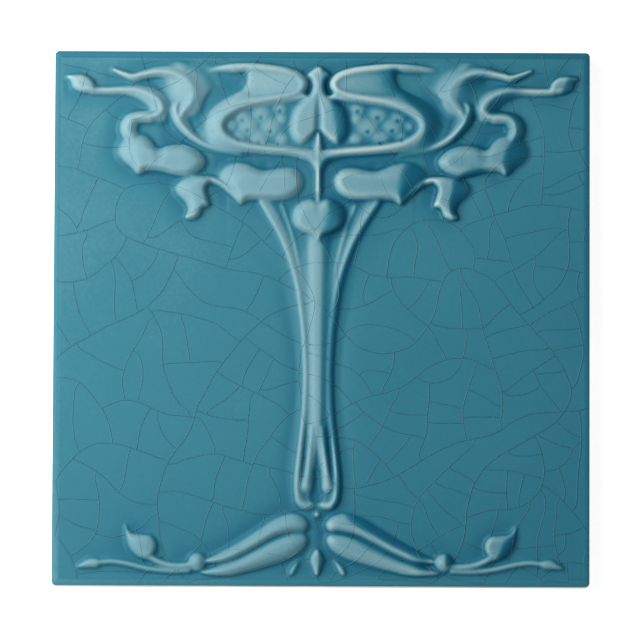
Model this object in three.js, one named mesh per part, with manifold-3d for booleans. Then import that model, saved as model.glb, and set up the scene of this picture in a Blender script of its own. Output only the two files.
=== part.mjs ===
// Decorative ceramic tile: one fired piece with a plant ornament in low relief on its glazed face.
// Lengths are millimetres. The tile lies on its back: X to its right, Y to its top edge, Z out of the face.
// The ornament is the same on both sides of its axis, so only its right half is drawn.
import * as THREE from "three";
import { mergeVertices } from "three/addons/utils/BufferGeometryUtils.js";
import Module from "manifold-3d";

// The body of the tile
const TILE_SIDE = 152.4;
const FIELD_THICKNESS = 8.6;
const CORNER_RADIUS = 1.2;
const EDGE_WIDTH = 2.1;
const EDGE_DROP = 0.55;
const BACK_CHAMFER = 0.6;

// The keying grooves in the back
const GROOVE_COUNT = 7;
const GROOVE_WIDTH = 8;
const GROOVE_DEPTH = 1.1;
const GROOVE_END_MARGIN = 14;

// Heights of the ornament above the field
const SEED_BED = 0.65;
const SEED_HEIGHT = 0.75;
const STEM_RIM = 1.7;
const STEM_SPINE = 2.1;
const CUP_RIM = 2.6;
const HORN = 2.1;
const BUD_HEIGHT = 2.3;
const HEART_HEIGHT = 2.7;
const LEAF_HEIGHT = 2.6;
const FLAME_HEIGHT = 2.2;
const RIBBON_HEIGHT = 2.3;
const TENDRIL_HEIGHT = 1.0;
const BASE_LEAF_HEIGHT = 2.2;
const SMALL_BUD = 1.6;

// The drawing: places and widths are hundredths of the tile's side, measured from its middle
const UNIT = TILE_SIDE / 100;
const UNPRESSED = -3;
const FOOT_FILLET = 0.5;

// The press was set a little off the middle: the ornament's axis stands this far left of the tile's
const LEAN = 0.72;
const LEAN_REACH = 15;

// Fineness of the face: the relief is sampled at steps of side / 256 and then thinned to this error
const FACE_STEPS = 256;
const FACE_ERROR = 0.2;
const CURVE_STEP = 0.33;
const GLAZE_PASSES = 2;
const ARC_STEPS = 5;

const half = TILE_SIDE / 2;
const panelHalf = half - EDGE_WIDTH;

// How a side of a ridge falls, from its crest (share 0) to its foot (share 1)
const ROUND = (share) => 1 - share ** 1.9;
const FULL = (share) => 1 - share ** 1.45;
const STRAIGHT = (share) => 1 - share ** 1.1;
const HOLLOW = (share) => (share < 1 ? (1 - share) ** 1.7 : 1 - share);

// Smooth curves through drawn points

const mix = (a, b, t) => a.map((value, i) => value + (b[i] - value) * t);

// A centripetal Catmull-Rom curve through the points; values after the first two are carried along.
function smoothLine(points, closed) {
  const flat = points.map(([u, v]) => new THREE.Vector3(u, v, 0));
  const curve = new THREE.CatmullRomCurve3(flat, closed, "centripetal");
  const spans = closed ? points.length : points.length - 1;
  const line = [];
  for (let i = 0; i < spans; i += 1) {
    const next = (i + 1) % points.length;
    const steps = Math.max(2, Math.ceil(flat[i].distanceTo(flat[next]) / CURVE_STEP));
    for (let k = 0; k < steps; k += 1) {
      const p = curve.getPoint((i + k / steps) / spans);
      line.push([p.x, p.y, ...mix(points[i], points[next], k / steps).slice(2)]);
    }
  }
  if (!closed) line.push(points[spans]);
  return line;
}

// The left half of an outline that starts and ends on the middle line, added to its right half.
const mirrored = (points) => [
  ...points,
  ...points.filter(([u]) => u > 0).reverse().map(([u, ...rest]) => [-u, ...rest]),
];

// Nearest place on the segment a-b: how far away, how far along it, and on which side (left is positive).
function toSegment(u, v, a, b) {
  const du = b[0] - a[0];
  const dv = b[1] - a[1];
  const along = ((u - a[0]) * du + (v - a[1]) * dv) / Math.max(du * du + dv * dv, 1e-12);
  const t = Math.min(1, Math.max(0, along));
  const distance = Math.hypot(u - a[0] - t * du, v - a[1] - t * dv);
  return { t, distance, side: du * (v - a[1]) - dv * (u - a[0]) };
}

function isInside(u, v, line) {
  let inside = false;
  line.forEach((a, i) => {
    const b = line[(i + 1) % line.length];
    const crosses = a[1] > v !== b[1] > v;
    if (crosses && u < ((b[0] - a[0]) * (v - a[1])) / (b[1] - a[1]) + a[0]) inside = !inside;
  });
  return inside;
}

// The height map of the face: one height for each crossing of a square grid

const size = FACE_STEPS + 1;
const spacing = (2 * panelHalf) / FACE_STEPS;
const heights = new Float64Array(size * size).fill(UNPRESSED);
const gridPlace = (i) => i * spacing - panelHalf;

// Runs change(height, u, v) on every grid point within reach of a line, on the right half only.
function reshape(line, reach, change) {
  const us = line.map((p) => p[0]);
  const vs = line.map((p) => p[1]);
  const first = (low) => Math.max(0, Math.floor(((low - reach) * UNIT + panelHalf) / spacing));
  const last = (high) => Math.min(FACE_STEPS, Math.ceil(((high + reach) * UNIT + panelHalf) / spacing));
  const middle = FACE_STEPS / 2;
  for (let j = first(Math.min(...vs)); j <= last(Math.max(...vs)); j += 1) {
    for (let i = Math.max(middle, first(Math.min(...us))); i <= last(Math.max(...us)); i += 1) {
      const at = j * size + i;
      heights[at] = change(heights[at], gridPlace(i) / UNIT, gridPlace(j) / UNIT);
    }
  }
}

// The larger of two heights, with a fillet where they cross.
const blend = (a, b, fillet) => Math.max(a, b) + Math.max(fillet - Math.abs(a - b), 0) ** 2 / (4 * fillet);

// A raised form inside an outline whose points are place and shoulder width; beyond fallFrom its crest
// comes down by fall for each hundredth of the side.
function cushion(outline, height, { fullness = 1.9, spread = 1, fallFrom = 100, fall = 0 } = {}) {
  const line = smoothLine(outline, true);
  reshape(line, 1.6, (old, u, v) => {
    let share = 1;
    let nearest = Infinity;
    line.forEach((a, i) => {
      const b = line[(i + 1) % line.length];
      const { t, distance } = toSegment(u, v, a, b);
      share = Math.min(share, distance / (spread * (a[2] + t * (b[2] - a[2]))));
      nearest = Math.min(nearest, distance);
    });
    const crest = height - fall * Math.max(u - fallFrom, 0);
    const raised = isInside(u, v, line) ? crest * (1 - (1 - share) ** fullness) : -2.2 * nearest;
    return blend(old, raised, 0.4);
  });
}

// A ridge along a path whose points are place, width to the left, width to the right and height.
function ridge(path, { left = ROUND, right = ROUND, level = 0 } = {}) {
  const line = smoothLine(path, false);
  const widest = Math.max(...path.map((p) => Math.max(p[2], p[3])));
  reshape(line, widest * 1.3, (old, u, v) => {
    let raised = UNPRESSED;
    for (let k = 0; k + 1 < line.length; k += 1) {
      const { t, distance, side } = toSegment(u, v, line[k], line[k + 1]);
      const [, , wideLeft, wideRight, high] = mix(line[k], line[k + 1], t);
      const away = Math.max(distance - level, 0);
      const share = side > 0 ? left(away / wideLeft) : right(away / wideRight);
      raised = Math.max(raised, high * share);
    }
    return blend(old, raised, 0.3);
  });
}

// A soft groove along a path whose points are place, half-width and depth.
function groove(path) {
  const line = smoothLine(path, false);
  const widest = Math.max(...path.map((p) => p[2]));
  reshape(line, widest, (old, u, v) => {
    let cut = 0;
    for (let k = 0; k + 1 < line.length; k += 1) {
      const { t, distance } = toSegment(u, v, line[k], line[k + 1]);
      const [, , width, depth] = mix(line[k], line[k + 1], t);
      const share = Math.min(1, distance / width);
      cut = Math.max(cut, depth * (1 - share * share) ** 2);
    }
    return old - cut;
  });
}

// A flat-bottomed bed sunk inside an outline, with a soft wall.
function bed(outline, level, wall) {
  const line = smoothLine(outline, true);
  reshape(line, 0.1, (old, u, v) => {
    if (!isInside(u, v, line)) return old;
    const gaps = line.map((a, i) => toSegment(u, v, a, line[(i + 1) % line.length]).distance);
    const share = THREE.MathUtils.smoothstep(Math.min(...gaps), 0, wall);
    return old + (Math.min(old, level) - old) * share;
  });
}

// A low round dome.
function dome([u0, v0], radius, height, base = 0) {
  reshape([[u0, v0]], radius * 1.2, (old, u, v) => {
    const share = ((u - u0) ** 2 + (v - v0) ** 2) / radius ** 2;
    return blend(old, base + height * (1 - share), 0.15);
  });
}

// A path of one width on both sides: from points of place, half-width and height
const evenly = (points) => points.map(([u, v, width, high]) => [u, v, width, width, high]);

// The ornament, from the flower down to the foot

function hornDish() {
  const body = [
    [2.8, 44.2, 0.6], [4.2, 45.7, 0.5], [8.6, 46.8, 0.5], [13.6, 47.2, 0.5], [18.6, 46.8, 0.4],
    [16.0, 46.0, 0.9], [15.0, 44.8, 1.5], [16.2, 43.4, 1.8], [19.3, 42.4, 2.6], [21.9, 41.1, 3.6],
    [23.4, 38.8, 4.4], [23.5, 36.4, 4.4], [22.6, 34.3, 3.6], [20.6, 32.9, 2.4], [17.4, 31.9, 1.5],
    [12.0, 30.9, 1.0], [6.4, 30.3, 1.0], [0, 29.0, 1.0], [-3.0, 31.0, 1.0], [-3.0, 41.0, 1.0],
    [2.4, 42.2, 0.6],
  ];
  const hollow = [
    [-3.9, 31.2], [2.0, 31.1], [5.3, 31.5], [9.8, 32.0], [13.8, 32.5], [16.6, 33.5], [17.9, 35.0],
    [18.0, 36.5], [16.9, 37.9], [14.4, 39.1], [10.5, 40.1], [6.6, 40.8], [3.3, 41.2], [-3.9, 41.1],
  ];
  cushion(body, HORN, { fullness: 1.4, fallFrom: 4, fall: 0.19 });
  bed(hollow, SEED_BED, 0.8);
}

// The rim runs over the horn and round the seed bed down to the stalk; heights are shares of CUP_RIM.
function cupRim() {
  const rim = [
    [18.8, 46.7, 0.6, 0.4, 0.45], [16.2, 47.0, 1.0, 0.5, 0.68], [13.0, 47.0, 1.5, 0.6, 0.82],
    [9.2, 46.6, 1.7, 0.7, 0.92], [6.0, 46.0, 1.4, 0.8, 0.97], [3.9, 45.1, 1.0, 0.9, 1],
    [3.0, 43.9, 0.9, 1.0, 1], [3.6, 42.6, 1.0, 0.9, 1], [5.7, 41.7, 1.5, 0.8, 1],
    [9.5, 41.0, 2.6, 0.8, 1], [13.2, 40.3, 4.2, 0.8, 1], [16.3, 39.1, 5.4, 0.85, 1],
    [18.4, 37.5, 5.4, 0.9, 1], [19.0, 35.8, 4.8, 0.9, 1], [18.3, 34.2, 3.5, 0.85, 1],
    [16.3, 32.9, 2.0, 0.8, 0.97], [13.0, 32.0, 1.1, 0.75, 0.94], [9.0, 31.5, 0.9, 0.7, 0.9],
    [5.0, 31.1, 0.8, 0.7, 0.86], [2.4, 30.5, 0.8, 0.7, 0.82], [0.9, 29.6, 0.8, 0.8, 0.76],
    [0.1, 28.2, 0.75, 0.75, 0.7],
  ];
  const path = rim.map(([u, v, left, right, share]) => [u, v, left, right, share * CUP_RIM]);
  ridge(path, { left: STRAIGHT, right: FULL, level: 0.3 });
}

function seeds() {
  const rows = [
    [7.3, 39.3, 1.2], [10.9, 38.3, 1.6], [14.5, 37.6, 1.3], [7.0, 37.3, 1.0], [9.1, 35.8, 1.8],
    [13.5, 35.9, 1.7], [16.7, 36.0, 1.0], [6.9, 33.5, 1.1], [11.4, 33.5, 1.6], [15.2, 33.8, 1.2],
  ];
  rows.forEach(([u, v, radius]) => dome([u, v], radius * 1.15, SEED_HEIGHT, SEED_BED));
}

function centreBud() {
  const outline = [
    [0, 47.3, 0.9], [1.2, 46.7, 0.9], [2.3, 45.5, 0.7], [1.7, 44.6, 0.9], [1.4, 43.4, 0.9],
    [1.9, 42.1, 1.1], [3.3, 41.0, 1.4], [4.8, 39.6, 1.7], [5.6, 37.4, 1.8], [5.8, 35.2, 1.8],
    [5.0, 33.2, 1.7], [3.5, 32.2, 1.4], [2.2, 32.7, 1.1], [1.2, 33.7, 0.9], [0, 34.8, 0.6],
  ];
  cushion(mirrored(outline), BUD_HEIGHT);
  groove([[0, 41.6, 0.5, 0.2], [0, 39.0, 0.8, 0.9], [0, 34.6, 0.9, 1.2]]);
  ridge(evenly([[0, 34.6, 0.35, 2.2], [0, 33.0, 0.8, 2.2], [0, 31.6, 1.2, 2.2], [0, 30.4, 0.9, 2.2]]));
}

// Each fold of a ribbon: widths to both sides, and heights as shares of RIBBON_HEIGHT.
function fold(points, shape) {
  ridge(points.map(([u, v, left, right, share]) => [u, v, left, right, share * RIBBON_HEIGHT]), shape);
}

function innerRibbon() {
  fold([
    [39.0, 46.4, 0.25, 0.3, 0.5], [37.0, 45.6, 0.6, 0.5, 0.75], [35.3, 45.2, 0.95, 0.6, 0.85],
    [33.4, 45.6, 1.4, 0.7, 0.92], [31.0, 46.0, 1.9, 0.9, 1.0], [28.5, 45.9, 2.4, 1.2, 1.0],
    [26.6, 45.3, 2.9, 1.8, 1.0], [25.2, 44.4, 3.2, 2.8, 1.0], [24.3, 43.3, 3.3, 3.6, 1.0],
    [23.9, 42.1, 3.2, 3.8, 0.98], [24.2, 40.9, 2.8, 3.2, 0.95], [24.9, 39.7, 2.1, 2.8, 0.93],
    [25.8, 38.7, 1.7, 2.5, 0.93], [26.4, 37.6, 1.4, 2.3, 0.9],
  ], { left: STRAIGHT, right: HOLLOW, level: 0.25 });
  fold([
    [26.8, 40.2, 0.8, 1.0, 0.6], [27.3, 39.4, 1.1, 1.5, 0.85], [27.3, 38.3, 1.2, 2.2, 0.95],
    [26.8, 37.0, 1.2, 2.5, 0.95], [26.0, 35.8, 1.1, 2.2, 0.9], [25.0, 34.7, 1.0, 1.6, 0.85],
    [23.8, 33.7, 0.9, 1.1, 0.75], [22.0, 32.6, 0.8, 0.8, 0.6], [19.0, 31.5, 0.7, 0.6, 0.4],
    [15.0, 30.7, 0.6, 0.5, 0.25],
  ], { left: STRAIGHT, right: HOLLOW, level: 0.25 });
}

function outerRibbon() {
  fold([
    [43.0, 42.6, 0.8, 0.7, 0.8], [40.0, 42.6, 0.85, 0.6, 0.7], [37.0, 42.7, 1.0, 0.8, 0.72],
    [34.8, 42.6, 1.5, 1.2, 0.82], [32.7, 42.0, 2.1, 1.7, 0.92], [31.0, 41.0, 2.6, 2.2, 1.0],
    [30.1, 39.9, 2.8, 2.2, 1.0], [29.9, 38.9, 2.6, 1.9, 0.97], [30.6, 38.0, 2.0, 1.4, 0.93],
    [31.9, 37.6, 1.3, 1.2, 0.9], [33.2, 37.6, 1.1, 1.2, 0.88],
  ], { left: STRAIGHT, right: HOLLOW, level: 0.25 });
  fold([
    [32.2, 37.6, 1.1, 1.2, 0.9], [33.6, 37.6, 1.1, 1.2, 0.9], [35.0, 37.4, 1.1, 1.3, 0.93],
    [36.2, 36.8, 1.4, 1.5, 0.97], [36.9, 35.6, 1.6, 1.6, 1.0], [36.8, 34.4, 1.7, 1.5, 0.95],
    [36.2, 33.6, 1.4, 1.2, 0.8],
  ], { left: FULL, right: FULL, level: 0.2 });
  const bud = [
    [42.2, 43.2, 0.7], [42.9, 44.5, 0.7], [44.2, 45.4, 0.7], [46.0, 45.6, 0.8], [48.0, 45.1, 0.3],
    [47.3, 44.2, 1.3], [46.8, 42.9, 1.3], [45.4, 42.1, 0.8], [43.3, 41.9, 0.7], [42.0, 42.1, 0.7],
  ];
  cushion(bud, RIBBON_HEIGHT * 0.95);
}

// The fluted stem: its floor, the spine and the thin veins on it, and the rims along its edges.
function stem() {
  const floor = [
    [0, 23.5, 13.0, 0.35], [0, 19.0, 11.3, 0.45], [0, 14.0, 8.2, 0.6], [0, 9.0, 6.1, 0.85],
    [0, 3.0, 4.6, 1.15], [0, -4.0, 3.5, 1.35], [0, -13.0, 3.1, 1.4], [0, -22.0, 3.8, 1.3],
    [0, -29.0, 4.7, 1.0], [0, -32.5, 4.2, 0.9],
  ];
  const spine = [
    [0.1, 18.0, 2.3], [0.1, 12.0, 2.1], [0.1, 4.0, 1.75], [0.1, -6.0, 1.5], [0.1, -16.0, 1.35],
    [0.1, -22.0, 1.0], [0.1, -28.0, 0.6],
  ];
  const veins = [
    [[9.4, 21.8, 0.75], [7.4, 17.6, 0.8], [5.6, 13.0, 0.95], [4.1, 8.0, 1.1], [3.2, 2.0, 1.2]],
    [[6.8, 21.0, 0.75], [5.2, 16.6, 0.8], [3.9, 11.6, 0.95], [2.9, 6.0, 1.15]],
  ];
  const edge = [
    [13.6, 21.6], [11.5, 18.9], [9.7, 16.4], [8.1, 13.8], [6.8, 11.0], [5.8, 8.4], [4.9, 5.4],
    [4.25, 2.0], [3.7, -1.6], [3.3, -6.0], [3.1, -10.6], [3.2, -15.0], [3.5, -19.0], [4.0, -23.0],
    [4.5, -26.6], [4.95, -30.2], [4.85, -33.0], [4.0, -35.2], [2.4, -36.4], [1.0, -36.0],
  ];
  ridge(evenly(floor));
  ridge(evenly(spine.map((point) => [...point, STEM_SPINE])), { level: 0.2 });
  veins.forEach((vein) => ridge(evenly(vein.map(([u, v, high]) => [u, v, 0.6, high]))));
  const rim = edge.slice(0, -3).map(([u, v]) => {
    const inset = 1.15 + 0.11 * Math.max(u - 3.2, 0);
    return [u - inset, v, 0.8, inset * 1.1, STEM_RIM];
  });
  const toe = [[3.2, -34.3, 0.8, 1.2, STEM_RIM], [2.2, -35.0, 0.8, 1.1, STEM_RIM],
    [1.3, -34.7, 0.8, 0.9, STEM_RIM * 0.9]];
  ridge([...rim, ...toe], { right: STRAIGHT, level: 0.1 });
}

// The stem's foot: the prongs with their drops, the slots and the gap between them.
function stemFoot() {
  const prong = [[0.5, -20.0, 0.8], [0.9, -25.0, 0.8], [1.4, -29.0, 0.85], [1.9, -32.2, 1.1]];
  const outer = [[2.9, -21.0, 0.55], [3.2, -26.0, 0.6], [3.5, -30.0, 0.7]];
  ridge(evenly(outer.map((point) => [...point, STEM_RIM])));
  groove([[1.75, -20.5, 0.5, 0.3], [1.95, -24.5, 0.75, 1.3], [2.45, -29.6, 0.8, 1.7]]);
  groove([[0, -26.0, 0.4, 0.2], [0, -30.0, 0.9, 2.0], [0, -33.4, 1.1, 2.4]]);
  ridge(evenly(prong.map((point) => [...point, STEM_RIM])));
  dome([0, -36.7], 0.75, 1.2);
}

function stalkAndHeart() {
  const heart = [
    [0, 22.0, 1.2], [1.3, 22.5, 1.6], [3.2, 22.1, 1.9], [4.8, 20.8, 2.2], [5.3, 18.9, 2.2],
    [4.6, 17.1, 1.2], [2.9, 15.9, 0.9], [1.2, 15.1, 0.8], [0, 13.8, 0.6],
  ];
  ridge([[0, 31.0, 0.8, 0.8, 2.4], [0, 27.0, 0.7, 0.7, 2.2], [0, 20.0, 0.7, 0.7, 2.0]]);
  cushion(mirrored(heart), HEART_HEIGHT);
  groove([[0, 22.8, 0.9, 0.9], [0, 21.4, 0.9, 0.4], [0, 19.4, 0.7, 0.05]]);
}

function flameLeaf() {
  const outline = [
    [20.2, 26.0, 0.8], [22.0, 26.7, 1.0], [24.6, 26.7, 1.8], [26.8, 25.9, 2.8], [27.9, 24.3, 3.2],
    [27.2, 22.7, 3.0], [25.8, 21.4, 2.3], [25.2, 20.1, 1.3], [25.6, 18.6, 0.4], [24.3, 18.2, 0.7],
    [22.8, 18.8, 0.8], [22.0, 20.4, 0.6], [20.9, 20.9, 0.5], [21.2, 22.6, 0.8], [21.5, 24.2, 0.8],
    [20.9, 25.1, 0.6],
  ];
  const arch = [
    [15.4, 22.0, 0.5], [16.8, 23.5, 0.7], [18.5, 25.0, 0.8], [20.4, 25.8, 0.8], [22.4, 25.9, 0.8],
  ];
  ridge(evenly(arch.map((point) => [...point, 1.9])), { left: FULL, right: FULL });
  cushion(outline, FLAME_HEIGHT);
}

function innerLeaf() {
  const outline = [
    [2.5, 25.2, 1.5], [2.9, 26.9, 1.5], [4.3, 28.2, 1.7], [6.4, 28.5, 1.8], [8.6, 28.2, 1.9],
    [10.2, 27.9, 2.0], [11.6, 28.2, 2.2], [13.4, 29.1, 2.8], [15.6, 29.5, 3.8], [17.9, 29.0, 5.0],
    [19.6, 27.4, 5.4], [19.8, 25.6, 5.2], [18.8, 24.1, 3.8], [17.2, 22.9, 2.2], [15.0, 21.0, 0.7],
    [13.4, 21.8, 1.0], [11.0, 21.8, 1.2], [8.0, 21.7, 1.3], [5.4, 22.0, 1.4], [3.4, 23.2, 1.5],
  ];
  cushion(outline, LEAF_HEIGHT, { fullness: 1.5 });
  groove([[10.2, 28.4, 1.5, 0.35], [10.6, 26.8, 1.6, 0.2], [11.6, 25.0, 1.4, 0.05]]);
}

function outerLeaf() {
  const outline = [
    [21.4, 29.2, 1.7], [22.6, 31.2, 1.7], [24.7, 32.4, 1.8], [27.0, 32.7, 1.8], [29.2, 32.4, 1.6],
    [30.6, 32.2, 1.5], [31.6, 33.2, 2.0], [33.1, 34.4, 2.8], [35.4, 35.0, 4.0], [37.6, 34.2, 4.6],
    [39.1, 32.4, 4.8], [39.2, 30.5, 4.4], [37.8, 29.0, 2.8], [36.0, 27.9, 1.4], [34.4, 26.6, 0.6],
    [32.6, 27.2, 1.0], [30.2, 27.1, 1.2], [27.6, 26.4, 1.3], [25.0, 26.1, 1.5], [22.6, 27.2, 1.7],
  ];
  cushion(outline, LEAF_HEIGHT, { fullness: 1.5 });
  groove([[30.6, 33.0, 1.4, 0.7], [30.3, 31.0, 1.5, 0.5], [30.6, 29.2, 1.3, 0.15]]);
}

function baseLeaf() {
  const upper = [
    [1.3, -38.6, 1.0], [2.2, -37.2, 1.5], [4.6, -36.4, 1.8], [8.0, -37.4, 1.8], [11.2, -39.4, 1.8],
    [14.8, -41.8, 1.8], [18.8, -43.9, 1.6], [22.0, -45.6, 0.9], [18.0, -45.7, 0.9],
    [14.0, -44.3, 1.0], [10.4, -42.3, 1.1], [7.4, -40.7, 1.2], [4.4, -39.9, 1.2],
    [2.2, -39.9, 1.0],
  ];
  const lower = [
    [1.5, -41.4, 1.2], [2.2, -40.4, 1.4], [4.4, -40.2, 1.5], [7.6, -41.2, 1.5], [11.2, -43.0, 1.5],
    [15.2, -45.0, 1.3], [19.4, -46.4, 1.0], [22.4, -47.6, 0.7], [18.2, -48.5, 0.9],
    [13.2, -47.4, 1.2], [8.3, -46.0, 1.5], [4.4, -44.6, 1.6], [2.2, -43.0, 1.4],
  ];
  cushion(lower, BASE_LEAF_HEIGHT * 0.85, { fullness: 1.6, spread: 1.2 });
  cushion(upper, BASE_LEAF_HEIGHT, { fullness: 1.6, spread: 1.2 });
}

function footTendril() {
  const bud = [
    [30.6, -43.9, 0.8], [30.4, -42.0, 0.8], [31.4, -40.6, 0.9], [33.2, -40.3, 1.2],
    [35.2, -39.9, 1.6], [36.3, -38.6, 0.5], [36.5, -41.0, 1.9], [35.8, -43.2, 1.9],
    [34.0, -44.9, 1.4], [32.0, -45.3, 0.9],
  ];
  const tip = [
    [40.6, -45.5, 0.6], [41.8, -44.8, 0.8], [43.4, -44.9, 1.1], [45.4, -46.7, 0.4],
    [43.0, -46.9, 0.8], [41.2, -46.7, 0.7],
  ];
  const stalk = [
    [31.6, -44.8], [29.0, -46.0], [26.5, -46.4], [24.2, -46.2],
  ];
  const tendril = [
    [24.4, -47.2], [28.0, -47.3], [32.0, -46.9], [36.5, -45.9], [39.0, -45.6], [41.0, -45.8],
  ];
  ridge(stalk.map(([u, v]) => [u, v, 0.8, 0.8, TENDRIL_HEIGHT * 1.3]));
  cushion(bud, SMALL_BUD * 1.1);
  ridge(tendril.map(([u, v]) => [u, v, 0.75, 0.6, TENDRIL_HEIGHT]));
  cushion(tip, SMALL_BUD * 0.8);
  dome([22.9, -45.6], 1.9, BASE_LEAF_HEIGHT);
}

function footDrops() {
  const middle = [
    [0, -43.0, 0.6], [1.1, -44.0, 0.9], [1.5, -45.4, 1.1], [1.0, -46.8, 0.9], [0, -48.4, 0.4],
  ];
  const side = [
    [3.3, -45.2, 0.6], [4.6, -46.0, 0.9], [5.4, -47.4, 0.7], [5.1, -48.4, 0.3], [3.9, -47.4, 0.7],
  ];
  cushion(mirrored(middle), SMALL_BUD);
  cushion(side, SMALL_BUD * 0.65);
}

[hornDish, cupRim, seeds, centreBud, innerRibbon, outerRibbon, stem, stemFoot, stalkAndHeart,
  flameLeaf, innerLeaf, outerLeaf, baseLeaf, footTendril, footDrops].forEach((draw) => draw());

// The glaze rounds every crest and foot: each height is evened with its neighbours, a few times over.
function glazeOver() {
  for (let pass = 0; pass < GLAZE_PASSES; pass += 1) {
    for (const step of [1, size]) {
      const before = heights.slice();
      for (let at = step; at < heights.length - step; at += 1) {
        heights[at] = (before[at - step] + 2 * before[at] + before[at + step]) / 4;
      }
    }
  }
}

// Unfolds the drawn right half over the whole face, sets it on the field and calms the panel's border.
function finishHeights() {
  const drawn = heights.slice();
  const calm = 2 * spacing;
  const middle = FACE_STEPS / 2;
  for (let i = 0; i < size; i += 1) {
    const u = gridPlace(i) / UNIT;
    const away = Math.abs(u + LEAN * Math.exp(-((u / LEAN_REACH) ** 2))) * UNIT;
    const column = Math.min(middle + away / spacing, FACE_STEPS - 1e-6);
    const left = Math.floor(column);
    for (let j = 0; j < size; j += 1) {
      const row = j * size;
      const pressed = drawn[row + left] + (column - left) * (drawn[row + left + 1] - drawn[row + left]);
      const toBorder = Math.min(i, FACE_STEPS - i, j, FACE_STEPS - j) * spacing;
      heights[row + i] = blend(pressed, 0, FOOT_FILLET) * THREE.MathUtils.smoothstep(toBorder, 0, calm);
    }
  }
}
finishHeights();
glazeOver();


// The face as triangles: right-angled triangles halved until they follow the height map

// What halving a triangle's long side would mend, for the grid point in the middle of that side.
function halvingErrors() {
  const errors = new Float64Array(size * size);
  const visit = (ax, ay, bx, by, cx, cy) => {
    if (Math.abs(ax - cx) + Math.abs(ay - cy) <= 1) return 0;
    const mx = (ax + bx) / 2;
    const my = (ay + by) / 2;
    const at = my * size + mx;
    const flat = (heights[ay * size + ax] + heights[by * size + bx]) / 2;
    const own = Math.abs(flat - heights[at]);
    const below = Math.max(visit(cx, cy, ax, ay, mx, my), visit(bx, by, cx, cy, mx, my));
    errors[at] = Math.max(errors[at], own, below);
    return errors[at];
  };
  // Neighbours share the point on their common long side, so the passes go on until nothing changes.
  let before = -1;
  let total = 0;
  while (total !== before) {
    before = total;
    visit(0, 0, FACE_STEPS, FACE_STEPS, FACE_STEPS, 0);
    visit(FACE_STEPS, FACE_STEPS, 0, 0, 0, FACE_STEPS);
    total = errors.reduce((sum, error) => sum + error, 0);
  }
  return errors;
}

// The triangles of the face, as triples of [x, y, z], and the points on its border.
function faceTriangles() {
  const errors = halvingErrors();
  const triangles = [];
  const border = new Map();
  const point = (i, j) => {
    const p = [gridPlace(i), gridPlace(j), FIELD_THICKNESS + heights[j * size + i]];
    if (i === 0 || j === 0 || i === FACE_STEPS || j === FACE_STEPS) border.set(j * size + i, p);
    return p;
  };
  const split = (ax, ay, bx, by, cx, cy) => {
    const mx = (ax + bx) / 2;
    const my = (ay + by) / 2;
    if (Math.abs(ax - cx) + Math.abs(ay - cy) > 1 && errors[my * size + mx] > FACE_ERROR) {
      split(cx, cy, ax, ay, mx, my);
      split(bx, by, cx, cy, mx, my);
    } else {
      triangles.push([point(ax, ay), point(cx, cy), point(bx, by)]);
    }
  };
  split(0, 0, FACE_STEPS, FACE_STEPS, FACE_STEPS, 0);
  split(FACE_STEPS, FACE_STEPS, 0, 0, 0, FACE_STEPS);
  return { triangles, loop: [...border.values()] };
}

// The body: rounded squares stacked from the back's edge up over the rounded edge of the face

// A rounded square that lies inset from the tile's outline, as points at one level.
function roundedSquare(inset, z) {
  const radius = Math.max(CORNER_RADIUS - inset, 0.3);
  const centre = half - inset - radius;
  const points = [];
  for (let corner = 0; corner < 4; corner += 1) {
    for (let k = 0; k <= ARC_STEPS; k += 1) {
      const turn = ((corner + k / ARC_STEPS) * Math.PI) / 2;
      const middle = ((corner + 0.5) * Math.PI) / 2;
      const cx = Math.sign(Math.cos(middle)) * centre;
      const cy = Math.sign(Math.sin(middle)) * centre;
      points.push([cx + radius * Math.cos(turn), cy + radius * Math.sin(turn), z]);
    }
  }
  return points;
}

// Two triangles for each pair of neighbours on two rings of as many points.
function strip(lower, upper) {
  return lower.flatMap((a, i) => {
    const next = (i + 1) % lower.length;
    return [[a, lower[next], upper[next]], [a, upper[next], upper[i]]];
  });
}

// A flat cap inside a ring, facing down.
function lowerCap(ring) {
  const flat = ring.map(([x, y]) => new THREE.Vector2(x, y));
  return THREE.ShapeUtils.triangulateShape(flat, []).map((face) => face.map((i) => ring[i]).reverse());
}

// The level band between an outer and an inner ring of any number of points, facing up.
function levelBand(outerRing, innerRing) {
  const angle = ([x, y]) => Math.atan2(y, x);
  const inTurn = (ring) => [...ring].sort((p, q) => angle(p) - angle(q));
  const [outer, inner] = [inTurn(outerRing), inTurn(innerRing)];
  const angleAt = (ring, i) => angle(ring[i % ring.length]) + (i < ring.length ? 0 : 2 * Math.PI);
  const triangles = [];
  let i = 0;
  let j = 0;
  while (i < outer.length || j < inner.length) {
    const [a, b] = [outer[i % outer.length], inner[j % inner.length]];
    const outerNext = j >= inner.length || angleAt(outer, i + 1) < angleAt(inner, j + 1);
    if (outerNext && i < outer.length) {
      i += 1;
      triangles.push([a, outer[i % outer.length], b]);
    } else {
      j += 1;
      triangles.push([a, inner[j % inner.length], b]);
    }
  }
  return triangles;
}

function tileBody() {
  const { triangles, loop } = faceTriangles();
  const rings = [roundedSquare(BACK_CHAMFER, 0), roundedSquare(0, BACK_CHAMFER)];
  for (let k = 0; k <= ARC_STEPS; k += 1) {
    const turn = ((k / ARC_STEPS) * Math.PI) / 2;
    const inset = (EDGE_WIDTH - spacing) * (1 - Math.cos(turn));
    rings.push(roundedSquare(inset, FIELD_THICKNESS - EDGE_DROP * (1 - Math.sin(turn))));
  }
  const sides = rings.slice(1).flatMap((ring, i) => strip(rings[i], ring));
  const top = rings[rings.length - 1];
  return [...triangles, ...sides, ...lowerCap(rings[0]), ...levelBand(top, loop)];
}

// Joins and cuts

const wasm = await Module();
wasm.setup();

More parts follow.
